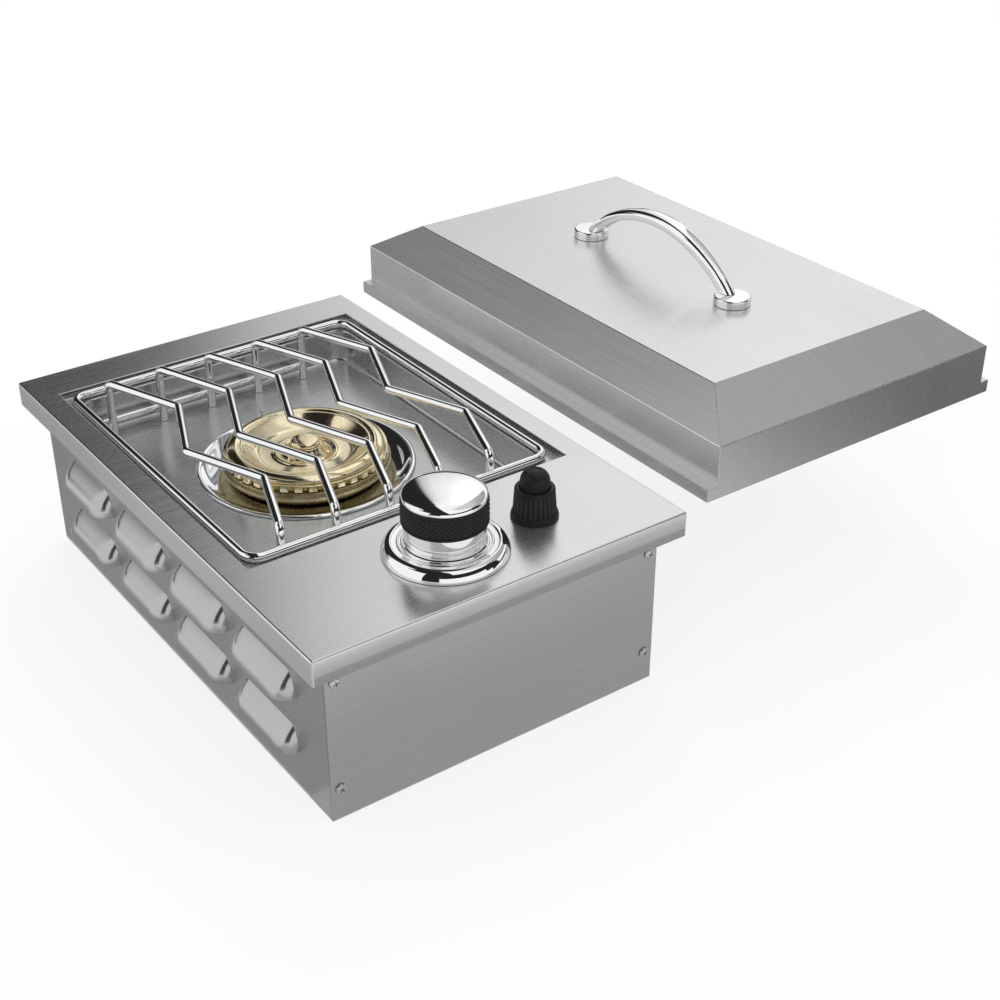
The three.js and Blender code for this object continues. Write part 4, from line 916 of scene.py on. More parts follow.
def add_deck():
    """The deck with its folded lip, brushed across on top and along at the sides."""
    low, high, _ = span("deck_panel")
    well_low, well_high, _ = span("burner_well")
    bm = whole_copy("deck_panel")

    def outside(point):
        return min(point.x - low.x, high.x - point.x, point.y - low.y, high.y - point.y) < WELD

    def on_top(vert):
        return vert.co.z > high.z - WELD

    folds = [
        edge
        for edge in sharp_edges(bm)
        if all(outside(vert.co) for vert in edge.verts) and any(on_top(vert) for vert in edge.verts)
    ]
    round_edges(bm, folds, settings("burner_sheet").fold, 4)
    mouth = [
        edge
        for edge in sharp_edges(bm, 60)
        if all(on_top(vert) for vert in edge.verts)
        and well_low.y < (edge.verts[0].co.y + edge.verts[1].co.y) / 2 < well_high.y
    ]
    round_edges(bm, mouth, 0.6 * MM, 3)
    brush_map(bm, ACROSS)
    for face in bm.faces:
        face.material_index = 2 if folded(face) else sideways(face)
    deck = new_object("deck_sheet", bm, ["deck_across", "deck_along", "bright_fold"])
    place(shade(deck, weighted=True), "housing", "brushed_steel", "deck_panel")


def folded(face):
    """Whether a face lies on a fold that runs along a level edge."""
    return 0.1 < face.normal.z < 0.97


def sideways(face):
    """One for a face that looks left or right, and nothing for the others."""
    return int(abs(face.normal.x) > 0.7)


def add_flat_panels():
    """The box's front, rear and bottom panels, with their edges broken."""
    panels = {"front_panel": "front_sheet", "rear_panel": "rear_sheet", "bottom_panel": "bottom_tray"}
    for node, name in panels.items():
        bm = whole_copy(node)
        round_edges(bm, sharp_edges(bm, 60), settings("burner_sheet").cut, 2)
        brush_map(bm, ACROSS)
        for face in bm.faces:
            face.material_index = sideways(face)
        # Box steel, darkened as painted shade.
        panel = new_object(name, bm, ["box_across", "box_along"])
        place(shade(panel, weighted=True), "housing", "brushed_steel", node)


def louvre_profile(proud, height, steps=12):
    """A louvre's section from its lip up to the wall, bulging a little."""
    points = []
    for k in range(steps + 1):
        up = k / steps
        points.append((proud * (1.0 - 0.1 * up - 0.9 * up * up), height * up))
    points.append((-0.06 * proud, 1.03 * height))
    return points


def louvre_hood(proud, stations=56, squareness=2.2):
    """One louvre that stands out towards +X, with its lip's middle at the origin.

    Its ends close along a rounded curve, sooner in height than in depth.
    """
    sizes = settings("burner_sheet")

    def closing(y, half, run):
        """One along the louvre, falling to nothing over a run at each end."""
        into = max(0.0, abs(y) - (half - run)) / run
        return math.sqrt(max(0.0, 1.0 - into**squareness))

    loops = []
    for i in range(stations + 1):
        loop = []
        for inset in (0.0, sizes.louvre_sheet):
            half = sizes.louvre_length / 2 - inset
            y = -half * math.cos(math.pi * i / stations)
            tall = closing(y, half, sizes.louvre_end)
            deep = closing(y, half, 1.6 * sizes.louvre_end)
            line = louvre_profile(proud - inset, sizes.louvre_height - inset)
            points = [(x * deep, y, z * tall) for x, z in line]
            loop.extend(points if inset == 0.0 else reversed(points))
        loops.append(loop)
    bm = loft(loops)
    bmesh.ops.remove_doubles(bm, verts=bm.verts, dist=WELD)
    bmesh.ops.recalc_face_normals(bm, faces=bm.faces)
    # The louvre's finish is the box steel, darkened as painted shade.
    return new_object("louvre_hood", bm, ["louvre"])


def side_wall(side, outer, low, high, places):
    """The flat wall of a side panel, open behind its louvres, with its flanges."""
    sizes = settings("burner_sheet")
    sheet, flange = sizes.box_sheet, sizes.box_flange
    half = sizes.louvre_length / 2 - 0.45 * sizes.louvre_end
    rise = (MM, 0.8 * sizes.louvre_height)  # of an opening's foot and head over its louvre's lip
    ys = sorted({low.y, high.y, *(y + end * half for y, _ in places for end in (-1, 1))})
    zs = sorted({low.z, high.z, *(z + up for _, z in places for up in rise)})
    bm = bmesh.new()
    corners = {(i, j): bm.verts.new((outer, y, z)) for i, y in enumerate(ys) for j, z in enumerate(zs)}
    for i in range(len(ys) - 1):
        for j in range(len(zs) - 1):
            y, z = (ys[i] + ys[i + 1]) / 2, (zs[j] + zs[j + 1]) / 2
            if not any(abs(y - at) < half and level + rise[0] < z < level + rise[1] for at, level in places):
                bm.faces.new([corners[i, j], corners[i + 1, j], corners[i + 1, j + 1], corners[i, j + 1]])
    for vert in [vert for vert in bm.verts if not vert.link_faces]:
        bm.verts.remove(vert)
    bm.normal_update()
    for face in bm.faces[:]:
        if face.normal.x * side < 0:
            face.normal_flip()
    bmesh.ops.solidify(bm, geom=bm.faces[:], thickness=sheet)
    inner, inward, outward = (outer - side * step for step in (sheet, flange, -flange))
    for front, rear in ((low.y, low.y + sheet), (high.y - sheet, high.y)):
        box_between(
            bm, (min(inner, inward), front, low.z + flange), (max(inner, inward), rear, high.z - flange)
        )
    box_between(bm, (min(outer, outward), low.y, high.z - sheet), (max(outer, outward), high.y, high.z))
    bmesh.ops.recalc_face_normals(bm, faces=bm.faces)
    return bm


def add_side_panels():
    """The box's side panels with their two rows of pressed louvres."""
    sizes = settings("burner_sheet")
    pitch = sizes.louvre_length + sizes.louvre_gap
    ends = [(i - (sizes.louvre_count - 1) / 2) * pitch for i in range(sizes.louvre_count)]
    places = [(y, -sizes.louvre_upper - row * sizes.louvre_rows) for y in ends for row in (0, 1)]
    for end, name in enumerate(("left_side", "right_side")):
        low, high, _ = span(f"{name}_panel")
        side, tip, outer = (-1, 1)[end], (low.x, high.x)[end], span("front_panel")[end].x
        bm = side_wall(side, outer, low, high, places)
        brush_map(bm, LENGTHWISE)
        # Box steel, darkened as painted shade.
        wall = new_object(f"{name}_wall", bm, ["box_along"])
        turn = Euler((0.0, 0.0, (math.pi, 0.0)[end]))
        spots = [(Vector((outer, y, z)), turn) for y, z in places]
        hoods = repeated(f"{name}_louvres", louvre_hood(abs(tip - outer)), spots, "louvre")
        brush_again(hoods, LENGTHWISE)
        panel = join_meshes(f"{name}_sheet", wall, hoods)
        place(shade(panel, 50), "housing", "brushed_steel", f"{name}_panel")


def new_sheet(bm):
    """A maker of faces that share corners with each other only."""
    known = {}

    def face(*points):
        corners = []
        for point in points:
            key = tuple(round(value, 6) for value in point)
            if key not in known:
                known[key] = bm.verts.new(point)
            corners.append(known[key])
        return bm.faces.new(corners)

    return face


def lid_surface():
    """The lid's outer faces: a flat top, four slopes and four skirts, with a step along each side."""
    sizes = settings("burner_lid")
    low, high, _ = span("lid_shell")
    seam = sizes.seam
    foot, top = low.z, high.z
    step, skirt = foot + sizes.step_height, foot + sizes.skirt_top
    front, rear = span("lid_front_panel")[0].y, span("lid_rear_panel")[1].y
    run_front, run_rear = front + sizes.front_run, rear - sizes.rear_run
    left, right = low.x + sizes.step_width, high.x - sizes.step_width
    top_left, top_right = left + sizes.side_run, right - sizes.side_run
    bm = bmesh.new()
    face = new_sheet(bm)
    face(
        (top_left, run_front, top), (top_right, run_front, top),
        (top_right, run_rear, top), (top_left, run_rear, top),
    )
    for wall, crest, out in ((left, top_left, low.x), (right, top_right, high.x)):
        face((wall, front, skirt), (wall, rear, skirt), (crest, run_rear, top), (crest, run_front, top))
        face(
            (wall, front, step), (wall, rear, step), (wall, rear, skirt - seam),
            (wall, rear, skirt), (wall, front, skirt), (wall, front, skirt - seam),
        )
        face((out, front, step), (out, rear, step), (wall, rear, step), (wall, front, step))
        face((out, front, foot), (out, rear, foot), (out, rear, step), (out, front, step))
    for end, run in ((front, run_front), (rear, run_rear)):
        face(
            (low.x, end, foot), (low.x, end, step), (left, end, step), (left, end, skirt - seam),
            (right, end, skirt - seam), (right, end, step), (high.x, end, step), (high.x, end, foot),
        )
        level = skirt + seam / abs(run - end) * (top - skirt)
        inward = end + math.copysign(seam, run - end)
        new_sheet(bm)(
            (left + seam, inward, level), (right - seam, inward, level),
            (top_right - seam, run, top), (top_left + seam, run, top),
        )
    heart = Vector(((left + right) / 2, (front + rear) / 2, foot))
    bm.normal_update()
    for item in bm.faces:
        if item.normal.dot(item.calc_center_median() - heart) < 0:
            item.normal_flip()
    return bm


def add_lid_sheet():
    """The folded lid, its end panels brushed down in a darker steel that is painted shade, and the rest
    along.
    """
    sizes = settings("burner_lid")
    bm = lid_surface()
    folds = [edge for edge in bm.edges if len(edge.link_faces) == 2]
    round_edges(bm, folds, settings("burner_sheet").fold, 4)
    brush_map(bm, LENGTHWISE)
    for face in bm.faces:
        if abs(face.normal.y) > 0.3:
            face.material_index = 1
        elif abs(face.normal.x) > 0.3 and face.normal.z > 0.1:
            face.material_index = 2 if face.calc_area() > LARGE_FACE else 3
    lid = new_object("lid_sheet", bm, ["lid_along", "lid_down", "lid_side", "bright_fold"])
    shade(lid, 35, weighted=True, sheet=sizes.sheet, even=True)
    place(lid, "lid", "brushed_steel", "lid_shell", "lid_front_panel", "lid_rear_panel")


# Well and bowl


def rounded_loop(low, high, radius, level, arc=8, straight=14):
    """A rounded rectangle of points at one level, anticlockwise from the right of its front side."""
    centres = [
        (high[0] - radius, low[1] + radius, -90),
        (high[0] - radius, high[1] - radius, 0),
        (low[0] + radius, high[1] - radius, 90),
        (low[0] + radius, low[1] + radius, 180),
    ]

    def on_corner(corner, degrees):
        x, y, start = centres[corner % 4]
        angle = math.radians(start + degrees)
        return Vector((x + radius * math.cos(angle), y + radius * math.sin(angle), level))

    points = []
    for i in range(4):
        points.extend(on_corner(i, 90 * k / arc) for k in range(arc + 1))
        begin, end = points[-1], on_corner(i + 1, 0)
        points.extend(begin.lerp(end, k / (straight + 1)) for k in range(1, straight + 1))
    return points


def well_loops():
    """Loops of the well from its rim down to its floor, and then round the bowl's hole."""
    sizes = settings("burner_well")
    low, high, _ = span("burner_well")
    burner = span("burner_crown")[2]
    rim, press, lip = sizes.rim, sizes.press, sizes.lip
    floor = low.z + sizes.sheet
    mouth = high.z - 0.5 * MM
    ledge = span("deck_panel")[1].z - sizes.ledge_drop
    side, end = sizes.ledge_side, sizes.ledge_front

    def level(inset_side, inset_front, radius, z):
        """A loop inset from the well's walls, alike at its sides and its rear."""
        corner = (low.x + rim + inset_side, low.y + rim + inset_front)
        return rounded_loop(corner, (high.x - rim - inset_side, high.y - rim - inset_side), radius, z)

    loops = [
        level(-rim, -rim, 1.0 * MM, mouth),
        level(0, 0, 0.6 * MM, mouth),
        level(0, 0, 0.6 * MM, ledge + lip),
    ]
    for sine, cosine in quarter(4)[1:]:
        inset = lip * (1 - cosine)
        loops.append(level(inset, inset, 1.0 * MM + inset, ledge + lip * (1 - sine)))
    for sine, cosine in quarter(4):
        inset = -lip + lip * sine
        loops.append(level(side + inset, end + inset, sizes.corner - inset, ledge - lip * (1 - cosine)))
    for sine, cosine in quarter(6):
        inset = press * (1 - cosine)
        loops.append(level(side + inset, end + inset, sizes.corner - inset / 2, floor + press * (1 - sine)))
    hole = sizes.bowl_wall + sizes.bowl_play
    rays = [Vector((point.x - burner.x, point.y - burner.y, 0.0)).normalized() for point in loops[-1]]
    for grow, sink in ((12 * MM, 0.0), (0.8 * MM, 0.0), (0.0, 0.9 * MM)):
        middle = Vector((burner.x, burner.y, floor - sink))
        loops.append([middle + ray * (hole + grow) for ray in rays])
    return loops, floor


def add_well():
    """The well: a short wall under the deck's opening, a ledge, and a pocket with rounded corners."""
    loops, floor = well_loops()
    bm = loft(loops)
    bm.normal_update()
    bmesh.ops.recalc_face_normals(bm, faces=bm.faces)
    near_floor = [face for face in bm.faces if abs(face.calc_center_median().z - floor) < 10 * WELD]
    if max(near_floor, key=lambda face: face.calc_area()).normal.z < 0:
        bmesh.ops.reverse_faces(bm, faces=bm.faces)
    brush_map(bm, ACROSS)
    well = new_object("pressed_well", bm, ["well_across"])
    shade(well, 45, weighted=True, sheet=settings("burner_well").sheet)
    place(well, "housing", "brushed_steel", "burner_well")


def add_bowl():
    """The polished drip bowl round the burner."""
    sizes = settings("burner_well")
    rim, top, _ = round_sizes("drip_bowl")
    wall, slope, hole = sizes.bowl_wall / MM, sizes.bowl_slope / MM, sizes.bowl_hole / MM
    drop = top - 3.4
    profile = [
        (hole, 0.0),
        (slope, 2.0, 6.0),
        (wall - 1.0, drop - 0.6, 2.0),
        (wall, drop + 1.0, 0.5),
        (rim, drop + 1.0, 0.3),
        (rim, drop + 2.4, 0.5),
        (rim - 1.2, top, 0.8),
        (rim - 3.4, top, 1.4),
        (wall - 1.0, drop + 1.4, 3.0),
        (slope, 3.4, 7.0),
        (hole, 1.2),
    ]
    add_turned("drip_bowl_polished", "drip_bowl", profile, "bowl_chrome", "housing", "polished_steel", 128)


# Burner


def add_burner_base():
    """The burner's brass base."""
    edge, top, _ = round_sizes("burner_base")
    profile = [
        (0.0, 0.0),
        (29.0, 0.0, 1.0),
        (29.0, top - 15.9, 3.0),
        (63.5, top - 13.4, 3.0),
        (edge, top - 6.7, 2.5),
        (edge, top - 3.4, 1.0),
        (68.0, top - 0.2, 0.8),
        (59.5, top - 0.2),
        (58.0, top - 10.4),
        (26.0, top - 11.9, 2.0),
        (26.0, 3.0),
        (0.0, 3.0),
    ]
    add_turned("burner_base_cast", "burner_base", profile, "base_brass", "housing", "burner_brass", 128)


def add_port_ring():
    """The burner's ring, with its ports sunk into its outside as upright slots."""
    ports = settings("burner_head").ports
    _, tall, (x, y, foot) = round_sizes("burner_ring")
    inner, outer = 58.0, 66.9
    half_port, port_depth = 0.2, 3.0 * MM
    middle_wall = 63.0 * MM
    port_top = foot + 0.72 * tall * MM
    bm = lathe([(inner, 0.0), (outer, 0.0, 0.5), (outer, tall, 0.6), (inner, tall)], (x, y, foot), ports * 8)
    for vert in bm.verts:
        reach = Vector((vert.co.x - x, vert.co.y - y))
        along = (math.atan2(reach.y, reach.x) / TURN * ports) % 1.0
        if min(along, 1.0 - along) < half_port and reach.length > middle_wall and vert.co.z < port_top:
            reach = reach.normalized() * (reach.length - port_depth)
            vert.co.x, vert.co.y = x + reach.x, y + reach.y
    ring = new_object("burner_port_ring", bm, ["crown_brass"])
    place(shade(ring, 35), "housing", "burner_brass", "burner_ring")


def add_crown():
    """The loose crown: a rolled rim, a dish with a raised bead, and a hub with claws under the centre cap."""
    sizes = settings("burner_head")
    rim, top, (x, y, low) = round_sizes("burner_crown")
    dish = rim - sizes.crown_lip / MM
    hub = sizes.hub / MM
    foot = 8.0
    profile = [
        (0.0, 0.0),
        (38.5, 0.0, 1.5),
        (50.0, foot - 3.0, 1.0),
        (57.7, foot - 3.0, 0.4),
        (57.7, foot, 0.4),
        (rim, foot, 0.5),
        (rim, foot + 2.2, 1.2),
        (rim - 2.6, top - 1.2, 2.2),
        (rim - 7.5, top, 3.0),
        (rim - 10.5, top - 1.5, 0.8),
        (rim - 12.0, top - 1.2, 0.8),
        (dish + 0.5, foot + 0.6, 2.0),
        (dish - 7.5, 3.0, 4.0),
        (27.0, 3.0, 2.0),
        (25.6, 4.2, 0.8),
        (24.0, 4.2, 0.8),
        (22.6, 3.0, 1.5),
        (hub + 4.0, 3.2, 2.5),
        (hub + 1.2, foot + 0.4, 1.6),
        (hub, foot + 2.5, 0.6),
        (0.0, foot + 2.5),
    ]
    crown = turned("crown_body", "burner_crown", profile, "crown_brass", 144)
    spots = ring_places((x, y), (hub + 2.0) * MM, low + 2.9 * MM, sizes.petals, math.radians(20))
    claws = repeated("crown_claws", claw_shape(), spots, "crown_brass")
    whole = join_meshes("crown_polished", crown, claws)
    place(shade(whole), "burner_cap", "burner_brass", "burner_crown")


def add_centre_cap():
    """The low domed cap on the crown's hub."""
    cap, tall, _ = round_sizes("burner_centre_cap")
    profile = [
        (0.0, 0.0),
        (cap, 0.0, 0.4),
        (cap, 1.5, 0.7),
        (cap - 1.6, tall - 0.7, 1.2),
        (cap * 0.45, tall - 0.05, 2.5),
        (0.0, tall),
    ]
    node = "burner_centre_cap"
    add_turned("centre_cap_polished", node, profile, "crown_brass", "burner_cap", "burner_brass")


def claw_shape(sides=10):
    """A claw that rises from the dish's floor to the hub's edge, along X."""
    sections = [
        (6.4, 0.0, 3.6, 0.6),
        (5.2, 1.6, 3.4, 1.6),
        (3.6, 3.6, 3.0, 2.0),
        (1.8, 5.6, 2.4, 1.8),
        (0.2, 6.8, 1.9, 1.2),
    ]
    loops = []
    for x, z, width, thick in sections:
        round_claw = [(math.cos(turn), math.sin(turn)) for turn in turns(sides)]
        loops.append([
            ((x + 0.5 * thick * out) * MM, 0.5 * width * aside * MM, (z + 0.35 * thick * out) * MM)
            for out, aside in round_claw
        ])
    return new_object("claw", capped(loops), ["crown_brass"])


# Control knob


def add_bezel():
    """The chrome bezel on the deck round the knob."""
    rim, top, _ = round_sizes("control_bezel")
    inner = 9.3
    skirt = settings("burner_control").skirt / MM
    profile = [
        (inner, 0.0),
        (rim, 0.0, 0.3),
        (rim, 2.0, 1.5),
        (rim - 1.6, 5.6, 1.5),
        (rim - 3.6, top - 1.0, 1.4),
        (rim - 6.6, top, 0.8),
        (rim - 7.4, top - 0.1, 0.3),
        (rim - 8.0, top - 0.8, 0.3),
        (skirt + 5.0, top - 1.0, 0.3),
        (skirt + 4.6, top - 0.3, 0.3),
        (skirt + 3.6, top - 0.3, 0.3),
        (skirt + 3.2, top - 1.0, 0.3),
        (skirt + 1.9, top - 1.0, 0.3),
        (skirt + 1.5, top - 0.1, 0.3),
        (skirt + 0.45, top - 0.1, 0.2),
        (skirt + 0.45, 4.3),
        (inner, 4.3),
    ]
    add_turned("bezel_chrome", "control_bezel", profile, "chrome", "housing", "polished_steel", 144)


def add_knob():
    """The knob's chrome skirt and its domed chrome cap."""
    skirt = settings("burner_control").skirt / MM
    _, top, _ = round_sizes("knob_skirt")
    shoulder = 15.2
    profile = [
        (4.3, 2.0),
        (8.3, 2.0),
        (8.3, shoulder - 2.3),
        (skirt - 2.0, shoulder - 2.3),
        (skirt - 2.0, 0.0, 0.4),
        (skirt - 0.1, 0.0, 0.5),
        (skirt - 0.1, 2.0, 0.3),
        (skirt - 0.8, 2.3, 0.3),
        (skirt - 0.8, 3.0, 0.3),
        (skirt - 0.1, 3.3, 0.3),
        (skirt - 0.1, shoulder, 0.4),
        (23.7, shoulder),
        (23.7, top),
        (0.0, top),
        (0.0, 26.7),
        (4.3, 26.7),
    ]
    add_turned("knob_skirt_chrome", "knob_skirt", profile, "chrome", "knob", "polished_steel", 144)
    reach, tall, _ = round_sizes("knob_cap")
    edge = 2.0
    wide = 0.985 * reach + 0.2
    dome = [(wide * cosine, edge + (tall - edge) * sine) for sine, cosine in quarter(16)[1:-1]]
    profile = [(0.0, 0.0), (reach, 0.0, 0.5), (reach, 1.7, 0.9), *dome, (0.0, tall)]
    add_turned("knob_cap_chrome", "knob_cap", profile, "chrome", "knob", "polished_steel", 144)


def knurl_diamond(width, height):
    """A raised diamond that stands out along X, its foot's middle at the origin. Sizes in millimetres."""
    depth = settings("burner_control").knurl_depth
    bm = bmesh.new()
    rows = []
    for out, spread in ((-0.3 * MM, 1.0), (0.92 * depth, 0.28)):
        half_wide, half_tall = 0.5 * width * spread * MM, 0.5 * height * spread * MM
        outline = ((0.0, -half_tall), (half_wide, 0.0), (0.0, half_tall), (-half_wide, 0.0))
        rows.append([bm.verts.new((out, y, z)) for y, z in outline])
    foot, crest = rows
    tip = bm.verts.new((depth, 0.0, 0.0))
    for k in range(4):
        after = (k + 1) % 4
        bm.faces.new([foot[k], foot[after], crest[after], crest[k]])
        bm.faces.new([crest[k], crest[after], tip])
    bm.faces.new(foot)
    bmesh.ops.recalc_face_normals(bm, faces=bm.faces)
    return new_object("knurl_diamond", bm, ["grip_rubber"])


def add_grip():
    """The knurled grip, with a plain band at its top and foot."""
    sizes = settings("burner_control")
    reach, tall, (x, y, low) = round_sizes("knob_grip")
    core = reach - sizes.knurl_depth / MM
    band = 2.1
    profile = [
        (reach - 7.9, 0.0),
        (reach - 0.5, 0.0, 0.5),
        (reach - 0.15, band - 0.5, 0.4),
        (core, band),
        (core, tall - band),
        (reach - 0.15, tall - band + 0.5, 0.4),
        (reach - 0.5, tall, 0.5),
        (reach - 7.9, tall),
    ]
    plain = turned("grip_core", "knob_grip", profile, "grip_rubber", 116)
    height = (tall - 2 * band) / sizes.knurl_rows
    diamond = knurl_diamond(TURN * core / sizes.knurl_round, height)
    places = []
    for row in range(2 * sizes.knurl_rows - 1):
        level = low + (band + height * (row + 1) / 2) * MM
        start = (row % 2) * TURN / sizes.knurl_round / 2
        places.extend(ring_places((x, y), core * MM, level, sizes.knurl_round, start))
    knurl = repeated("grip_knurl", diamond, places, "grip_rubber")
    grip = join_meshes("knurled_grip", plain, knurl)
    place(shade(grip, 25), "knob", "black_rubber", "knob_grip")


# Igniter


def add_collar():
    """The igniter's ribbed collar on its flared foot."""
    sizes = settings("burner_control")
    flare, tall, (x, y, low) = round_sizes("igniter_collar")
    foot = 16.6 - sizes.rib_depth / MM
    crest = 15.5 - sizes.rib_depth / MM
    profile = [
        (10.9, 0.0),
        (flare, 0.0, 0.4),
        (flare, 1.8, 0.8),
        (flare - 0.5, 3.4, 0.8),
        (17.0, 4.8, 0.6),
        (foot, 5.0),
        (crest + 0.1, tall - 3.2, 0.5),
        (crest + 0.55, tall - 2.6, 0.4),
        (crest + 0.35, tall - 1.0, 0.9),
        (14.4, tall, 0.6),
        (11.6, tall, 0.5),
        (11.6, 7.8),
        (10.9, 7.7),
    ]
    core = turned("collar_core", "igniter_collar", profile, "igniter_plastic", 104)
    rib_foot, rib_top = 4.8, tall - 3.1
    lean = math.atan2(foot - crest, tall - 8.0)
    rib = rib_shape(sizes.rib_width, sizes.rib_depth, (rib_top - rib_foot) * MM)
    spots = ring_places((x, y), foot * MM, low + rib_foot * MM, sizes.ribs, tilt=-lean)
    whole = join_meshes("ribbed_collar", core, repeated("collar_ribs", rib, spots, "igniter_plastic"))
    place(shade(whole), "housing", "black_plastic", "igniter_collar")


def add_button():
    """The igniter's domed button."""
    reach, top, _ = round_sizes("igniter_button")
    profile = [
        (0.0, 0.0),
        (4.5, 0.0, 0.4),
        (4.5, 6.0),
        (reach, 6.0, 0.4),
        (reach, top - 8.0, 1.5),
        (reach - 0.7, top - 4.4, 2.0),
        (reach - 2.8, top - 1.3, 1.8),
        (6.2, top - 0.05, 0.8),
        (5.2, top, 0.3),
        (4.9, top - 0.4, 0.2),
        (4.2, top - 0.4, 0.2),
        (3.8, top - 0.1, 0.3),
        (0.0, top - 0.05),
    ]
    body = node = "igniter_button"
    add_turned("domed_button", node, profile, "igniter_plastic", body, "black_plastic", 72)


def rib_shape(width, depth, run):
    """An upright rounded rib with its foot at the origin, standing out along X."""
    sunk = 0.2 * MM
    loops = []
    for up, size in ((0.0, 1.0), (0.9, 1.0), (0.96, 0.75), (0.99, 0.4), (1.0, 0.05)):
        half = 0.5 * width * (0.6 + 0.4 * size)
        half_circle = [math.pi * (k / 8 - 0.5) for k in range(9)]
        loops.append([
            (depth * size * math.cos(angle) - sunk, half * math.sin(angle), run * up) for angle in half_circle
        ])
    return new_object("rib", capped(loops), ["igniter_plastic"])


def add_electrode():
    """The spark electrode's glazed insulator."""
    _, top, _ = round_sizes("electrode_ceramic")
    profile = [
        (0.0, 0.0),
        (3.4, 0.0, 0.5),
        (3.4, 7.5, 0.6),
        (5.4, 7.5, 0.8),
        (5.4, 13.5, 0.8),
        (3.4, 13.5, 0.6),
        (3.4, top - 5.0),
        (3.0, top - 4.4, 0.4),
        (3.4, top - 3.8, 0.4),
        (3.0, top - 1.0, 1.0),
        (1.2, top, 0.4),
        (0.0, top),
    ]
    add_turned("electrode_insulator", "electrode_ceramic", profile, "ceramic", "housing", "white_ceramic", 40)


# Grate


def finger_line(node):
    """Corners of a finger's line, from its rear leg over its zigzag to its front one."""
    sizes = settings("burner_grate")
    low, high, middle = span(node)
    rod = sizes.finger_rod
    swing = (high.x - low.x) / 2 - rod
    rear, front, top = high.y - rod, low.y + rod, high.z - rod
    end = middle.x - sizes.end_swing
    line = [(middle.x - swing, rear, low.z), (middle.x - swing, rear, top)]
    for i, run in enumerate((sizes.first_corner, sizes.second_corner, sizes.third_corner)):
        line.append((middle.x + (-1) ** i * swing, rear + (front - rear) * run, top))
    return [*line, (end, front, top), (end, front, span("grate_frame")[0].z)]


def add_grate():
    """The grate: a wire frame, five bent fingers and the bar that joins their rear legs."""
    sizes = settings("burner_grate")
    low, high, _ = span("grate_frame")
    rod = sizes.frame_rod
    left, right, front, rear = low.x + rod, high.x - rod, low.y + rod, high.y - rod
    loop = [(x, y, low.z + rod) for x, y in ((left, front), (right, front), (right, rear), (left, rear))]
    wire = rods("frame_wire", [loop], rod, sizes.frame_bend, "chrome", 10, 24, closed=True)
    place(wire, "grate", "polished_steel", "grate_frame")
    names = [f"grate_finger_{i}" for i in range(1, 6)]
    lines = [finger_line(name) for name in names]
    fingers = rods("finger_wires", lines, sizes.finger_rod, sizes.finger_bend, "chrome", 7)
    place(fingers, "grate", "polished_steel", *names)
    low, high, middle = span("grate_lower_bar")
    line = [(x, middle.y, middle.z) for x in (low.x, high.x)]
    bar = rods("lower_wire", [line], (high.z - low.z) / 2, 0.0, "chrome")
    place(bar, "grate", "polished_steel", "grate_lower_bar")


# Lid handle


def add_handle():
    """The arched handle, narrower towards its ends, cut level where it stands on its pads."""
    sizes = settings("burner_lid")
    low, _, middle = span("lid_handle")
    half = sizes.pad_spacing / 2 - sizes.handle_inset
    rise = sizes.handle_rise
    radius = (half**2 + rise**2) / (2 * rise)
    wide, thick, crown = sizes.handle_width / 2, sizes.handle_thick, sizes.handle_crown
    sweep = math.acos((radius - rise) / (radius + thick + crown))
    right_half = [
        (wide, 0.0, 1.0 * MM),
        (wide, thick - 2.6 * MM, 2.0 * MM),
        (0.8 * wide, thick - 0.1 * crown, 2.0 * MM),
        (0.35 * wide, thick + 0.85 * crown, 2.0 * MM),
    ]
    left_half = [(-across, up, rounding) for across, up, rounding in reversed(right_half)]
    section = soften([*right_half, *left_half], 4)
    steps = 64
    loops = []
    for i in range(steps + 1):
        turn = (2 * i / steps - 1) * sweep
        narrow = sizes.tip_width + (1 - sizes.tip_width) * (1 - (turn / sweep) ** 2)
        loops.append([
            (
                middle.x + across * narrow,
                middle.y + (radius + up) * math.sin(turn),
                low.z + (radius + up) * math.cos(turn) - radius + rise,
            )
            for across, up in section
        ])
    bm = capped(loops)
    everything = bm.verts[:] + bm.edges[:] + bm.faces[:]
    cut = bmesh.ops.bisect_plane(
        bm, geom=everything, plane_co=(0, 0, low.z), plane_no=(0, 0, -1), clear_outer=True
    )
    bmesh.ops.holes_fill(bm, edges=[item for item in cut["geom_cut"] if isinstance(item, bmesh.types.BMEdge)])
    bmesh.ops.recalc_face_normals(bm, faces=bm.faces)
    handle = new_object("arched_handle", bm, ["chrome"])
    place(shade(handle, 50), "lid", "polished_steel", "lid_handle")


def add_handle_pads():
    """The two round pads that the handle stands on, each with the hole of its screw."""
    for node in ("handle_pad_front", "handle_pad_rear"):
        pad, tall, _ = round_sizes(node)
        profile = [
            (2.8, 0.0),
            (pad, 0.0, 0.3),
            (pad, tall - 1.0, 0.6),
            (pad - 1.0, tall, 0.6),
            (0.0, tall),
            (0.0, 5.3),
            (2.8, 5.3),
        ]
        add_turned(f"{node}_chrome", node, profile, "chrome", "lid", "polished_steel")


# Fasteners and fittings


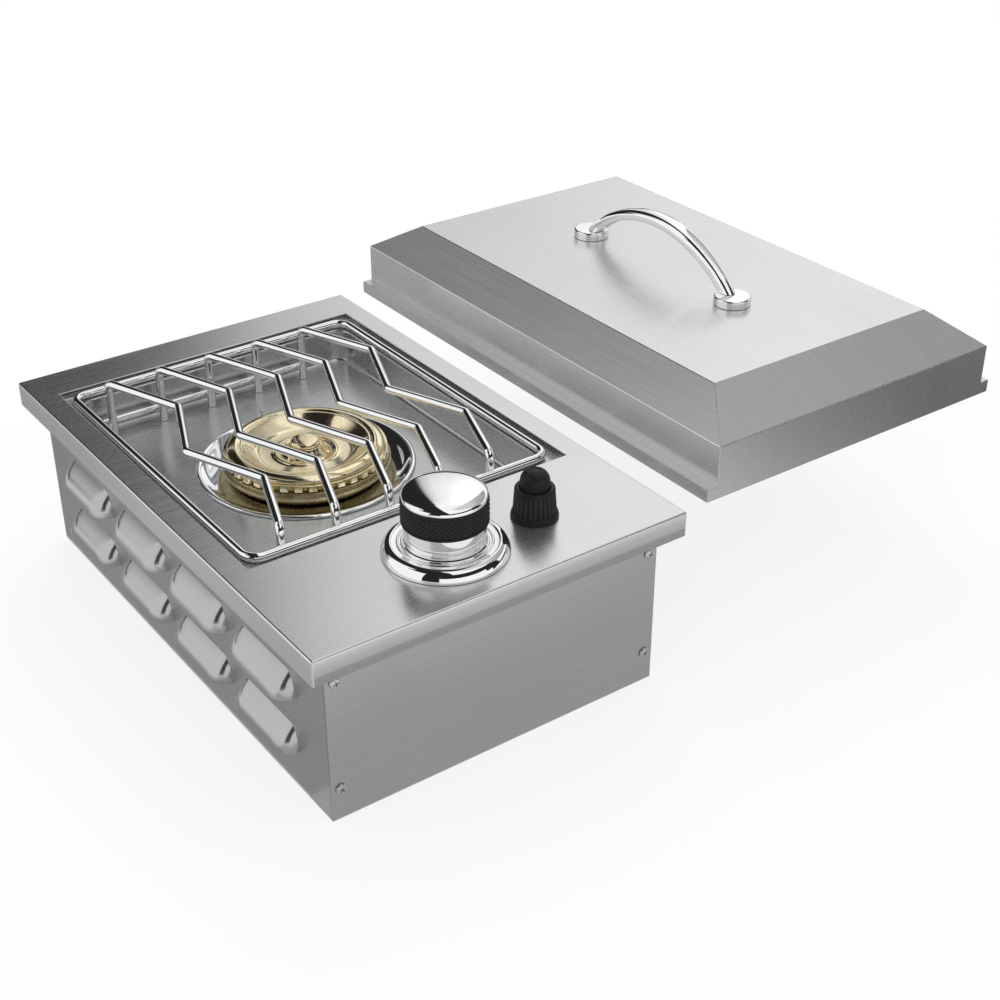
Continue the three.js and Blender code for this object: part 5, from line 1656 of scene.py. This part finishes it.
def screw_shape(head, tall, shank, run):
    """A pan-head screw with a cross recess, its head above the origin. Sizes in millimetres."""
    profile = [
        (0.0, -run),
        (shank, -run, 0.3),
        (shank, 0.0),
        (head, 0.0, 0.2),
        (head, 0.35 * tall, 0.3),
        (0.9 * head, 0.68 * tall, 0.6),
        (0.6 * head, 0.93 * tall, 0.8),
        (0.0, tall),
    ]
    screw = new_object("pan_head_screw", lathe(profile, sides=40), ["zinc"])
    cross = bmesh.new()
    long, wide = 0.52 * head * MM, 0.13 * head * MM
    bottom, above = 0.35 * tall * MM, 2 * tall * MM
    box_between(cross, (-long, -wide, bottom), (long, wide, above))
    box_between(cross, (-wide, -long, bottom + WELD), (wide, long, above + WELD))
    cutter = new_object("cross_recess", cross, ["zinc"])
    recess = screw.modifiers.new("Recess", "BOOLEAN")
    recess.operation = "DIFFERENCE"
    recess.solver = "EXACT"
    recess.use_self = True
    recess.object = cutter
    make_plain(screw)
    throw_away(cutter)
    return screw


def add_screws():
    """The four screws of the front panel and the two under the lid's handle."""
    names = [f"front_screw_{row}_{side}" for side in ("left", "right") for row in ("upper", "lower")]
    front = span("front_panel")[0].y - 0.3 * MM
    towards_front = Matrix.Rotation(math.pi / 2, 3, "X")
    places = []
    for name, spin in zip(names, (17, 52, 71, 34)):
        middle = span(name)[2]
        turn = towards_front @ Matrix.Rotation(math.radians(spin), 3, "Z")
        places.append((Vector((middle.x, front, middle.z)), turn.to_euler()))
    shape = screw_shape(head=4.2, tall=2.3, shank=2.0, run=9.0)
    screws = repeated("front_screws", shape, places, "zinc")
    place(shade(screws, 30), "housing", "zinc_plated_steel", *names)
    names = ["handle_screw_front", "handle_screw_rear"]
    tall = 3.0
    upside_down = Euler((math.pi, 0.0, 0.3))
    places = []
    for name in names:
        low, high, middle = span(name)
        places.append((Vector((middle.x, middle.y, low.z + tall * MM)), upside_down))
    shape = screw_shape(head=5.0, tall=tall, shank=2.5, run=(high.z - low.z) / MM - tall)
    screws = repeated("handle_screws", shape, places, "zinc")
    place(shade(screws, 30), "lid", "zinc_plated_steel", *names)


def add_inlet():
    """The brass gas inlet at the rear, with its threaded nipple and its hexagon."""
    low, high, middle = span("gas_inlet_fitting")
    rear = span("rear_panel")[1].y
    start, end = (low.y - rear) / MM, (high.y - rear) / MM
    pitch = (end - 7.2) / 6
    thread = []
    for k in range(6):
        level = 5.9 + k * pitch
        thread.extend([(7.35, level), (8.0, level + 0.45 * pitch), (7.35, level + 0.9 * pitch)])
    profile = [
        (4.0, start),
        (9.6, start, 0.3),
        (9.6, 0.3),
        (9.6, 5.3),
        (7.4, 5.5),
        *thread,
        (7.4, end - 0.9),
        (7.0, end, 0.2),
        (4.0, end, 0.3),
    ]
    nipple = new_object("inlet_turned", lathe(profile, sides=64), ["fitting_brass"])
    hexagon = [(0.0, 0.3), (12.6, 0.3, 0.5), (13.0, 1.0), (13.0, 4.6), (12.6, 5.3, 0.5), (0.0, 5.3)]
    bm = lathe(hexagon, sides=6)
    middles = [vert for vert in bm.verts if math.hypot(vert.co.x, vert.co.y) < WELD]
    bmesh.ops.delete(bm, geom=middles, context="VERTS")
    whole = join_meshes("gas_inlet", nipple, new_object("inlet_hexagon", bm, ["fitting_brass"]))
    to_rear = Matrix.Rotation(-math.pi / 2, 4, "X")
    whole.data.transform(Matrix.Translation((middle.x, rear, middle.z)) @ to_rear)
    place(shade(whole, 30), "housing", "fitting_brass", "gas_inlet_fitting")


def add_springs():
    """The coil springs under the knob and the button."""
    look = settings("burner_control")
    wire = look.spring_wire
    springs = {
        "valve_spring": ("valve_rotor", "knob_push", look.knob_turns),
        "igniter_spring": ("housing", "igniter_press", look.button_turns),
    }
    steps = 24
    for name, (body, joint, coils) in springs.items():
        low, high, middle = span(name)
        reach = (high.x - low.x) / 2 - wire
        rise = high.z - low.z - 2 * wire
        line = []
        for i in range(steps * coils + 1):
            angle = TURN * i / steps
            level = low.z + wire + rise * i / (steps * coils)
            line.append((middle.x + reach * math.cos(angle), middle.y + reach * math.sin(angle), level))
        coil = rods(name.replace("spring", "coil"), [line], wire, 0.0, "spring_wire", steps=1, sides=12)
        place(coil, body, "spring_steel", name)
        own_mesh(coil)


def paint_inner_pieces():
    """Finishes for the solids that stay as they are."""
    paint(["valve_neck_nut", "valve_bracket", "air_shutter", "burner_strap", "electrode_pin"], "zinc")
    paint(["valve_stem", "valve_plug", "injector", "inlet_nut"], "fitting_brass")
    paint(["valve_body", "gas_pipe", "mixing_tube"], "aluminium")
    paint(["electrode_lead"], "grip_rubber")
    paint(["igniter_body", "igniter_nut"], "igniter_plastic")
    paint(["igniter_battery"], "battery_sleeve")


# Stage


def empty_material(name):
    """A material's tree with only its output, and that output's socket."""
    material = bpy.data.materials.new(name)
    material.use_nodes = True
    tree = material.node_tree
    tree.nodes.clear()
    return material, tree, tree.nodes.new("ShaderNodeOutputMaterial").inputs["Surface"]


def stage_plane(name, corners, material):
    """A four-cornered plane that belongs to the stage."""
    mesh = from_lines(name, corners, faces=[(0, 1, 2, 3)])
    mesh.materials.append(material)
    in_scene(name, mesh)


def seen_directly(tree):
    """One for what the camera, a mirror or glass sees, and nothing for soft light."""
    path = tree.nodes.new("ShaderNodeLightPath")
    total = path.outputs["Is Camera Ray"]
    for name in ("Is Glossy Ray", "Is Transmission Ray"):
        larger = tree.nodes.new("ShaderNodeMath")
        larger.operation = "MAXIMUM"
        connect(tree, (total, larger.inputs[0]), (path.outputs[name], larger.inputs[1]))
        total = larger.outputs["Value"]
    return total


def floor_material():
    """White paper that keeps the part's soft shadow, and is plainly matt to soft light."""
    material, tree, surface = empty_material("white_floor")
    matt = tree.nodes.new("ShaderNodeBsdfDiffuse")
    matt.inputs["Color"].default_value = (0.24, 0.24, 0.24, 1.0)
    glow = tree.nodes.new("ShaderNodeEmission")
    glow.inputs["Strength"].default_value = 0.79
    both = tree.nodes.new("ShaderNodeAddShader")
    plain = tree.nodes.new("ShaderNodeBsdfDiffuse")
    plain.inputs["Color"].default_value = (0.75, 0.75, 0.75, 1.0)
    mix = tree.nodes.new("ShaderNodeMixShader")
    connect(
        tree,
        (matt.outputs["BSDF"], both.inputs[0]),
        (glow.outputs["Emission"], both.inputs[1]),
        (seen_directly(tree), mix.inputs["Fac"]),
        (plain.outputs["BSDF"], mix.inputs[1]),
        (both.outputs["Shader"], mix.inputs[2]),
        (mix.outputs["Shader"], surface),
    )
    return material


def add_world(strength):
    """White all round to the eye and to mirrors, and softer as light."""
    world = bpy.data.worlds.new("studio")
    bpy.context.scene.world = world
    world.use_nodes = True
    tree = world.node_tree
    tree.nodes.clear()
    soft = tree.nodes.new("ShaderNodeBackground")
    white = tree.nodes.new("ShaderNodeBackground")
    for background in (soft, white):
        background.inputs["Color"].default_value = (1.0, 1.0, 1.0, 1.0)
    soft.inputs["Strength"].default_value = strength
    mix = tree.nodes.new("ShaderNodeMixShader")
    output = tree.nodes.new("ShaderNodeOutputWorld")
    connect(
        tree,
        (seen_directly(tree), mix.inputs["Fac"]),
        (soft.outputs["Background"], mix.inputs[1]),
        (white.outputs["Background"], mix.inputs[2]),
        (mix.outputs["Shader"], output.inputs["Surface"]),
    )


def add_lamp(name, spot, target, size, power):
    """A square soft lamp that points at a target."""
    data = bpy.data.lights.new(name, "AREA")
    data.shape = "SQUARE"
    data.size = size
    data.energy = power
    lamp = in_scene(name, data)
    lamp.location = spot
    lamp.visible_glossy = False
    lamp.rotation_euler = (Vector(target) - Vector(spot)).to_track_quat("-Z", "Y").to_euler()


def tone_material():
    """Light as strong as the tone at each corner of a card, and a middle tone when mirrored twice."""
    material, tree, surface = empty_material("card_tones")
    glow = tree.nodes.new("ShaderNodeEmission")
    tone = tree.nodes.new("ShaderNodeAttribute")
    tone.attribute_name = "tone"
    path = tree.nodes.new("ShaderNodeLightPath")
    again = tree.nodes.new("ShaderNodeMath")
    again.operation = "GREATER_THAN"
    again.inputs[1].default_value = 1.5
    mix = tree.nodes.new("ShaderNodeMix")
    mix.inputs["B"].default_value = 0.55
    connect(
        tree,
        (path.outputs["Glossy Depth"], again.inputs[0]),
        (again.outputs["Value"], mix.inputs["Factor"]),
        (tone.outputs["Fac"], mix.inputs["A"]),
        (mix.outputs["Result"], glow.inputs["Strength"]),
        (glow.outputs["Emission"], surface),
    )
    return material


def reading(stops, values, at):
    """The value at a place between stops, along straight lines."""
    for (low, high), (start, end) in zip(zip(stops, stops[1:]), zip(values, values[1:])):
        if at <= high:
            return start + (end - start) * (at - low) / (high - low)
    return values[-1]


def add_card(name, across, up, tones, point, steps=48):
    """A card that only mirrors see. Its tones are given at stops across it and up it."""
    places = sorted({*across, *(across[0] + (across[-1] - across[0]) * k / steps for k in range(steps + 1))})
    wide = len(places)
    faces = [
        (j * wide + i, j * wide + i + 1, (j + 1) * wide + i + 1, (j + 1) * wide + i)
        for j in range(len(up) - 1)
        for i in range(wide - 1)
    ]
    mesh = from_lines(name, [point(u, v) for v in up for u in places], faces=faces)
    tone = mesh.attributes.new("tone", "FLOAT", "POINT")
    for j, row in enumerate(tones):
        for i, u in enumerate(places):
            tone.data[j * wide + i].value = reading(across, row, u)
    mesh.materials.append(bpy.data.materials.get("card_tones") or tone_material())
    card = in_scene(name, mesh)
    card.visible_camera = card.visible_diffuse = card.visible_shadow = card.visible_transmission = False


def on_sky(azimuth, elevation, distance=12.0):
    """The point far off in a direction, given in degrees."""
    turn, rise = math.radians(azimuth), math.radians(elevation)
    flat = distance * math.cos(rise)
    return (flat * math.cos(turn), flat * math.sin(turn), distance * math.sin(rise))


def add_sky_cards():
    """The cards far off that the steel and the chrome mirror: a light rear one, and dark ones round it."""
    far = (34, 48, 54, 60, 64, 66.5, 69, 112, 118, 124)
    low_tones = (0.95, 0.9, 0.8, 0.74, 0.55, 0.03, 0.02, 0.02, 0.5, 0.9)
    tones = (1.25, 1.2, 1.02, 0.88, 0.6, 0.03, 0.02, 0.02, 0.5, 0.9)
    high_tones = (1.2, 1.2, 1.0, 1.0, 0.9, 0.05, 0.02, 0.02, 0.3, 0.6)
    add_card("rear_card", far, (8, 30, 46, 54, 58), (low_tones, tones, tones, high_tones, high_tones), on_sky)
    side_tones = ((0.3, 0.35), (0.42, 0.46), (0.6, 0.65), (0.7, 0.7))
    add_card("high_card", (-21, 32), (24, 44, 54, 75), side_tones, on_sky)
    dark_cards = {
        "upper_card": ((67, 126), (58, 89)),
        "left_card": ((124, 150), (62, 89)),
        "over_card": ((150, 250), (46, 89)),
        "near_left_card": ((197, 226), (2, 46)),
        "near_front_card": ((226, 338), (21, 46)),
        "near_right_card": ((308, 338), (8, 21)),
        "horizon_card": ((15, 124), (0, 8)),
        "low_card": ((-40, 30), (1, 8)),
    }
    for name, (azimuths, elevations) in dark_cards.items():
        add_card(name, azimuths, elevations, ((0.02, 0.02), (0.02, 0.02)), on_sky)


def add_floor_cards(low):
    """The cards on the floor round the box, greyer towards it, as its own shadow would be."""

    def on_floor(x, y):
        return (x, y, low.z + 0.8 * MM)

    front_tones = (
        (1.0, 1.0, 0.9, 0.5, 0.3, 0.3, 1.0),
        (1.0, 1.0, 0.8, 0.42, 0.2, 0.17, 0.8),
        (0.86, 0.86, 0.8, 0.40, 0.17, 0.16, 0.5),
        (0.56, 0.56, 0.66, 0.38, 0.16, 0.16, 0.5),
        (0.52, 0.56, 0.66, 0.38, 0.16, 0.16, 0.5),
    )
    front_stops = (-0.8, 0.3, 0.36, 0.5, 0.68, 1.0, 1.3)
    add_card("front_floor", front_stops, (-1.1, -0.7, -0.44, -0.34, -0.2), front_tones, on_floor)
    near_tones = (1.0, 1.0, 0.7, 0.38, 0.40)
    left_tones = (
        near_tones,
        near_tones,
        (1.0, 1.0, 0.8, 0.42, 0.40),
        (1.0, 1.0, 0.6, 0.28, 0.36),
        (1.0, 1.0, 0.8, 0.30, 0.36),
    )
    left_stops = (-0.8, -0.5, -0.36, -0.24, -0.145)
    add_card("left_floor", left_stops, (-0.2, 0.0, 0.2, 0.45, 1.0), left_tones, on_floor)
    add_card("rear_floor", (-0.144, 0.25), (0.26, 1.0), ((0.40, 0.40), (0.40, 0.40)), on_floor)


def add_camera(look):
    """The camera at the photograph's view."""
    data = bpy.data.cameras.new("camera")
    data.lens = look.lens
    data.sensor_width = 36.0
    data.clip_end = 50.0
    camera = in_scene("camera", data)
    camera.location = look.spot
    turn, down = look.azimuth, look.elevation
    towards = Vector((-math.sin(turn) * math.cos(down), math.cos(turn) * math.cos(down), -math.sin(down)))
    camera.rotation_euler = towards.to_track_quat("-Z", "Y").to_euler()
    bpy.context.scene.camera = camera


def add_stage():
    """The floor, the light, what the metals mirror and the camera."""
    look = settings("burner_stage")
    low = Vector(cad_bounds[0])
    level = low.z - 0.2 * MM
    reach = 6.0
    corners = [(x * reach, y * reach, level) for x, y in ((-1, -1), (1, -1), (1, 1), (-1, 1))]
    stage_plane("floor", corners, floor_material())
    add_world(look.sky)
    add_lamp("key_lamp", (1.3, 1.5, 2.0), (0.15, 0.0, 0.0), 1.4, look.key)
    add_lamp("fill_lamp", (-1.6, -1.2, 1.6), (0.1, 0.0, 0.0), 1.2, look.fill)
    add_sky_cards()
    add_floor_cards(low)
    add_camera(look)


# Operators


class BurnerPiece:
    """What the operators share: they undo, take their steps in order and report what they made."""

    bl_options = {"REGISTER", "UNDO"}

    def execute(self, context):
        for step in self.steps:
            step()
        self.report({"INFO"}, self.bl_label)
        return {"FINISHED"}


class SIDEBURNER_OT_finishes(BurnerPiece, bpy.types.Operator):
    """Make the finishes and give them to the inner pieces"""

    bl_idname = "sideburner.finishes"
    bl_label = "Finishes"
    steps = (make_materials, paint_inner_pieces)


class SIDEBURNER_OT_deck(BurnerPiece, bpy.types.Operator):
    """Build the deck and its lip"""

    bl_idname = "sideburner.deck"
    bl_label = "Deck"
    steps = (add_deck,)


class SIDEBURNER_OT_box(BurnerPiece, bpy.types.Operator):
    """Build the box's front, rear, bottom and louvred sides"""

    bl_idname = "sideburner.box"
    bl_label = "Box"
    steps = (add_flat_panels, add_side_panels)


class SIDEBURNER_OT_well(BurnerPiece, bpy.types.Operator):
    """Build the pressed well and its drip bowl"""

    bl_idname = "sideburner.well"
    bl_label = "Well and bowl"
    steps = (add_well, add_bowl)


class SIDEBURNER_OT_burner(BurnerPiece, bpy.types.Operator):
    """Build the burner's base, ports, crown and centre cap"""

    bl_idname = "sideburner.burner"
    bl_label = "Burner"
    steps = (add_burner_base, add_port_ring, add_crown, add_centre_cap, add_electrode)


class SIDEBURNER_OT_knob(BurnerPiece, bpy.types.Operator):
    """Build the control knob and its bezel"""

    bl_idname = "sideburner.knob"
    bl_label = "Control knob"
    steps = (add_bezel, add_knob, add_grip, add_springs)


class SIDEBURNER_OT_igniter(BurnerPiece, bpy.types.Operator):
    """Build the igniter's collar and button"""

    bl_idname = "sideburner.igniter"
    bl_label = "Igniter"
    steps = (add_collar, add_button)


class SIDEBURNER_OT_grate(BurnerPiece, bpy.types.Operator):
    """Build the grate's rods"""

    bl_idname = "sideburner.grate"
    bl_label = "Grate"
    steps = (add_grate,)


class SIDEBURNER_OT_lid(BurnerPiece, bpy.types.Operator):
    """Build the lid with its handle"""

    bl_idname = "sideburner.lid"
    bl_label = "Lid and handle"
    steps = (add_lid_sheet, add_handle, add_handle_pads)


class SIDEBURNER_OT_fasteners(BurnerPiece, bpy.types.Operator):
    """Build the screws and the gas inlet"""

    bl_idname = "sideburner.fasteners"
    bl_label = "Screws and inlet"
    steps = (add_screws, add_inlet)


class SIDEBURNER_OT_stage(BurnerPiece, bpy.types.Operator):
    """Build the floor, the light and the camera"""

    bl_idname = "sideburner.stage"
    bl_label = "Stage"
    steps = (add_stage,)


OPERATORS = (
    SIDEBURNER_OT_finishes,
    SIDEBURNER_OT_deck,
    SIDEBURNER_OT_box,
    SIDEBURNER_OT_well,
    SIDEBURNER_OT_burner,
    SIDEBURNER_OT_knob,
    SIDEBURNER_OT_igniter,
    SIDEBURNER_OT_grate,
    SIDEBURNER_OT_lid,
    SIDEBURNER_OT_fasteners,
    SIDEBURNER_OT_stage,
)


class SIDEBURNER_PT_panel(bpy.types.Panel):
    """Lists the steps that build the side burner and the sizes that they use"""

    bl_idname = "SIDEBURNER_PT_panel"
    bl_label = "Side Burner"
    bl_space_type = "VIEW_3D"
    bl_region_type = "UI"
    bl_category = "Side Burner"

    def draw(self, context):
        layout = self.layout
        for operator in OPERATORS:
            layout.operator(operator.bl_idname)
        for name, group in SETTINGS.items():
            box = layout.box()
            box.label(text=group.__doc__)
            for prop in group.__annotations__:
                box.prop(getattr(context.scene, name), prop)


def register():
    for group in SETTINGS.values():
        bpy.utils.register_class(group)
    for name, group in SETTINGS.items():
        setattr(bpy.types.Scene, name, PointerProperty(type=group))
    for operator in OPERATORS:
        bpy.utils.register_class(operator)
    bpy.utils.register_class(SIDEBURNER_PT_panel)


def unregister():
    bpy.utils.unregister_class(SIDEBURNER_PT_panel)
    for operator in reversed(OPERATORS):
        bpy.utils.unregister_class(operator)
    for name in SETTINGS:
        delattr(bpy.types.Scene, name)
    for group in reversed(SETTINGS.values()):
        bpy.utils.unregister_class(group)


def main():
    """Registers the add-on, builds the whole part and sets a plain view transform."""
    register()
    for operator in OPERATORS:
        group, step = operator.bl_idname.split(".")
        getattr(getattr(bpy.ops, group), step)()
    scene = bpy.context.scene
    scene.view_settings.view_transform = "Standard"


if __name__ == "__main__":
    main()
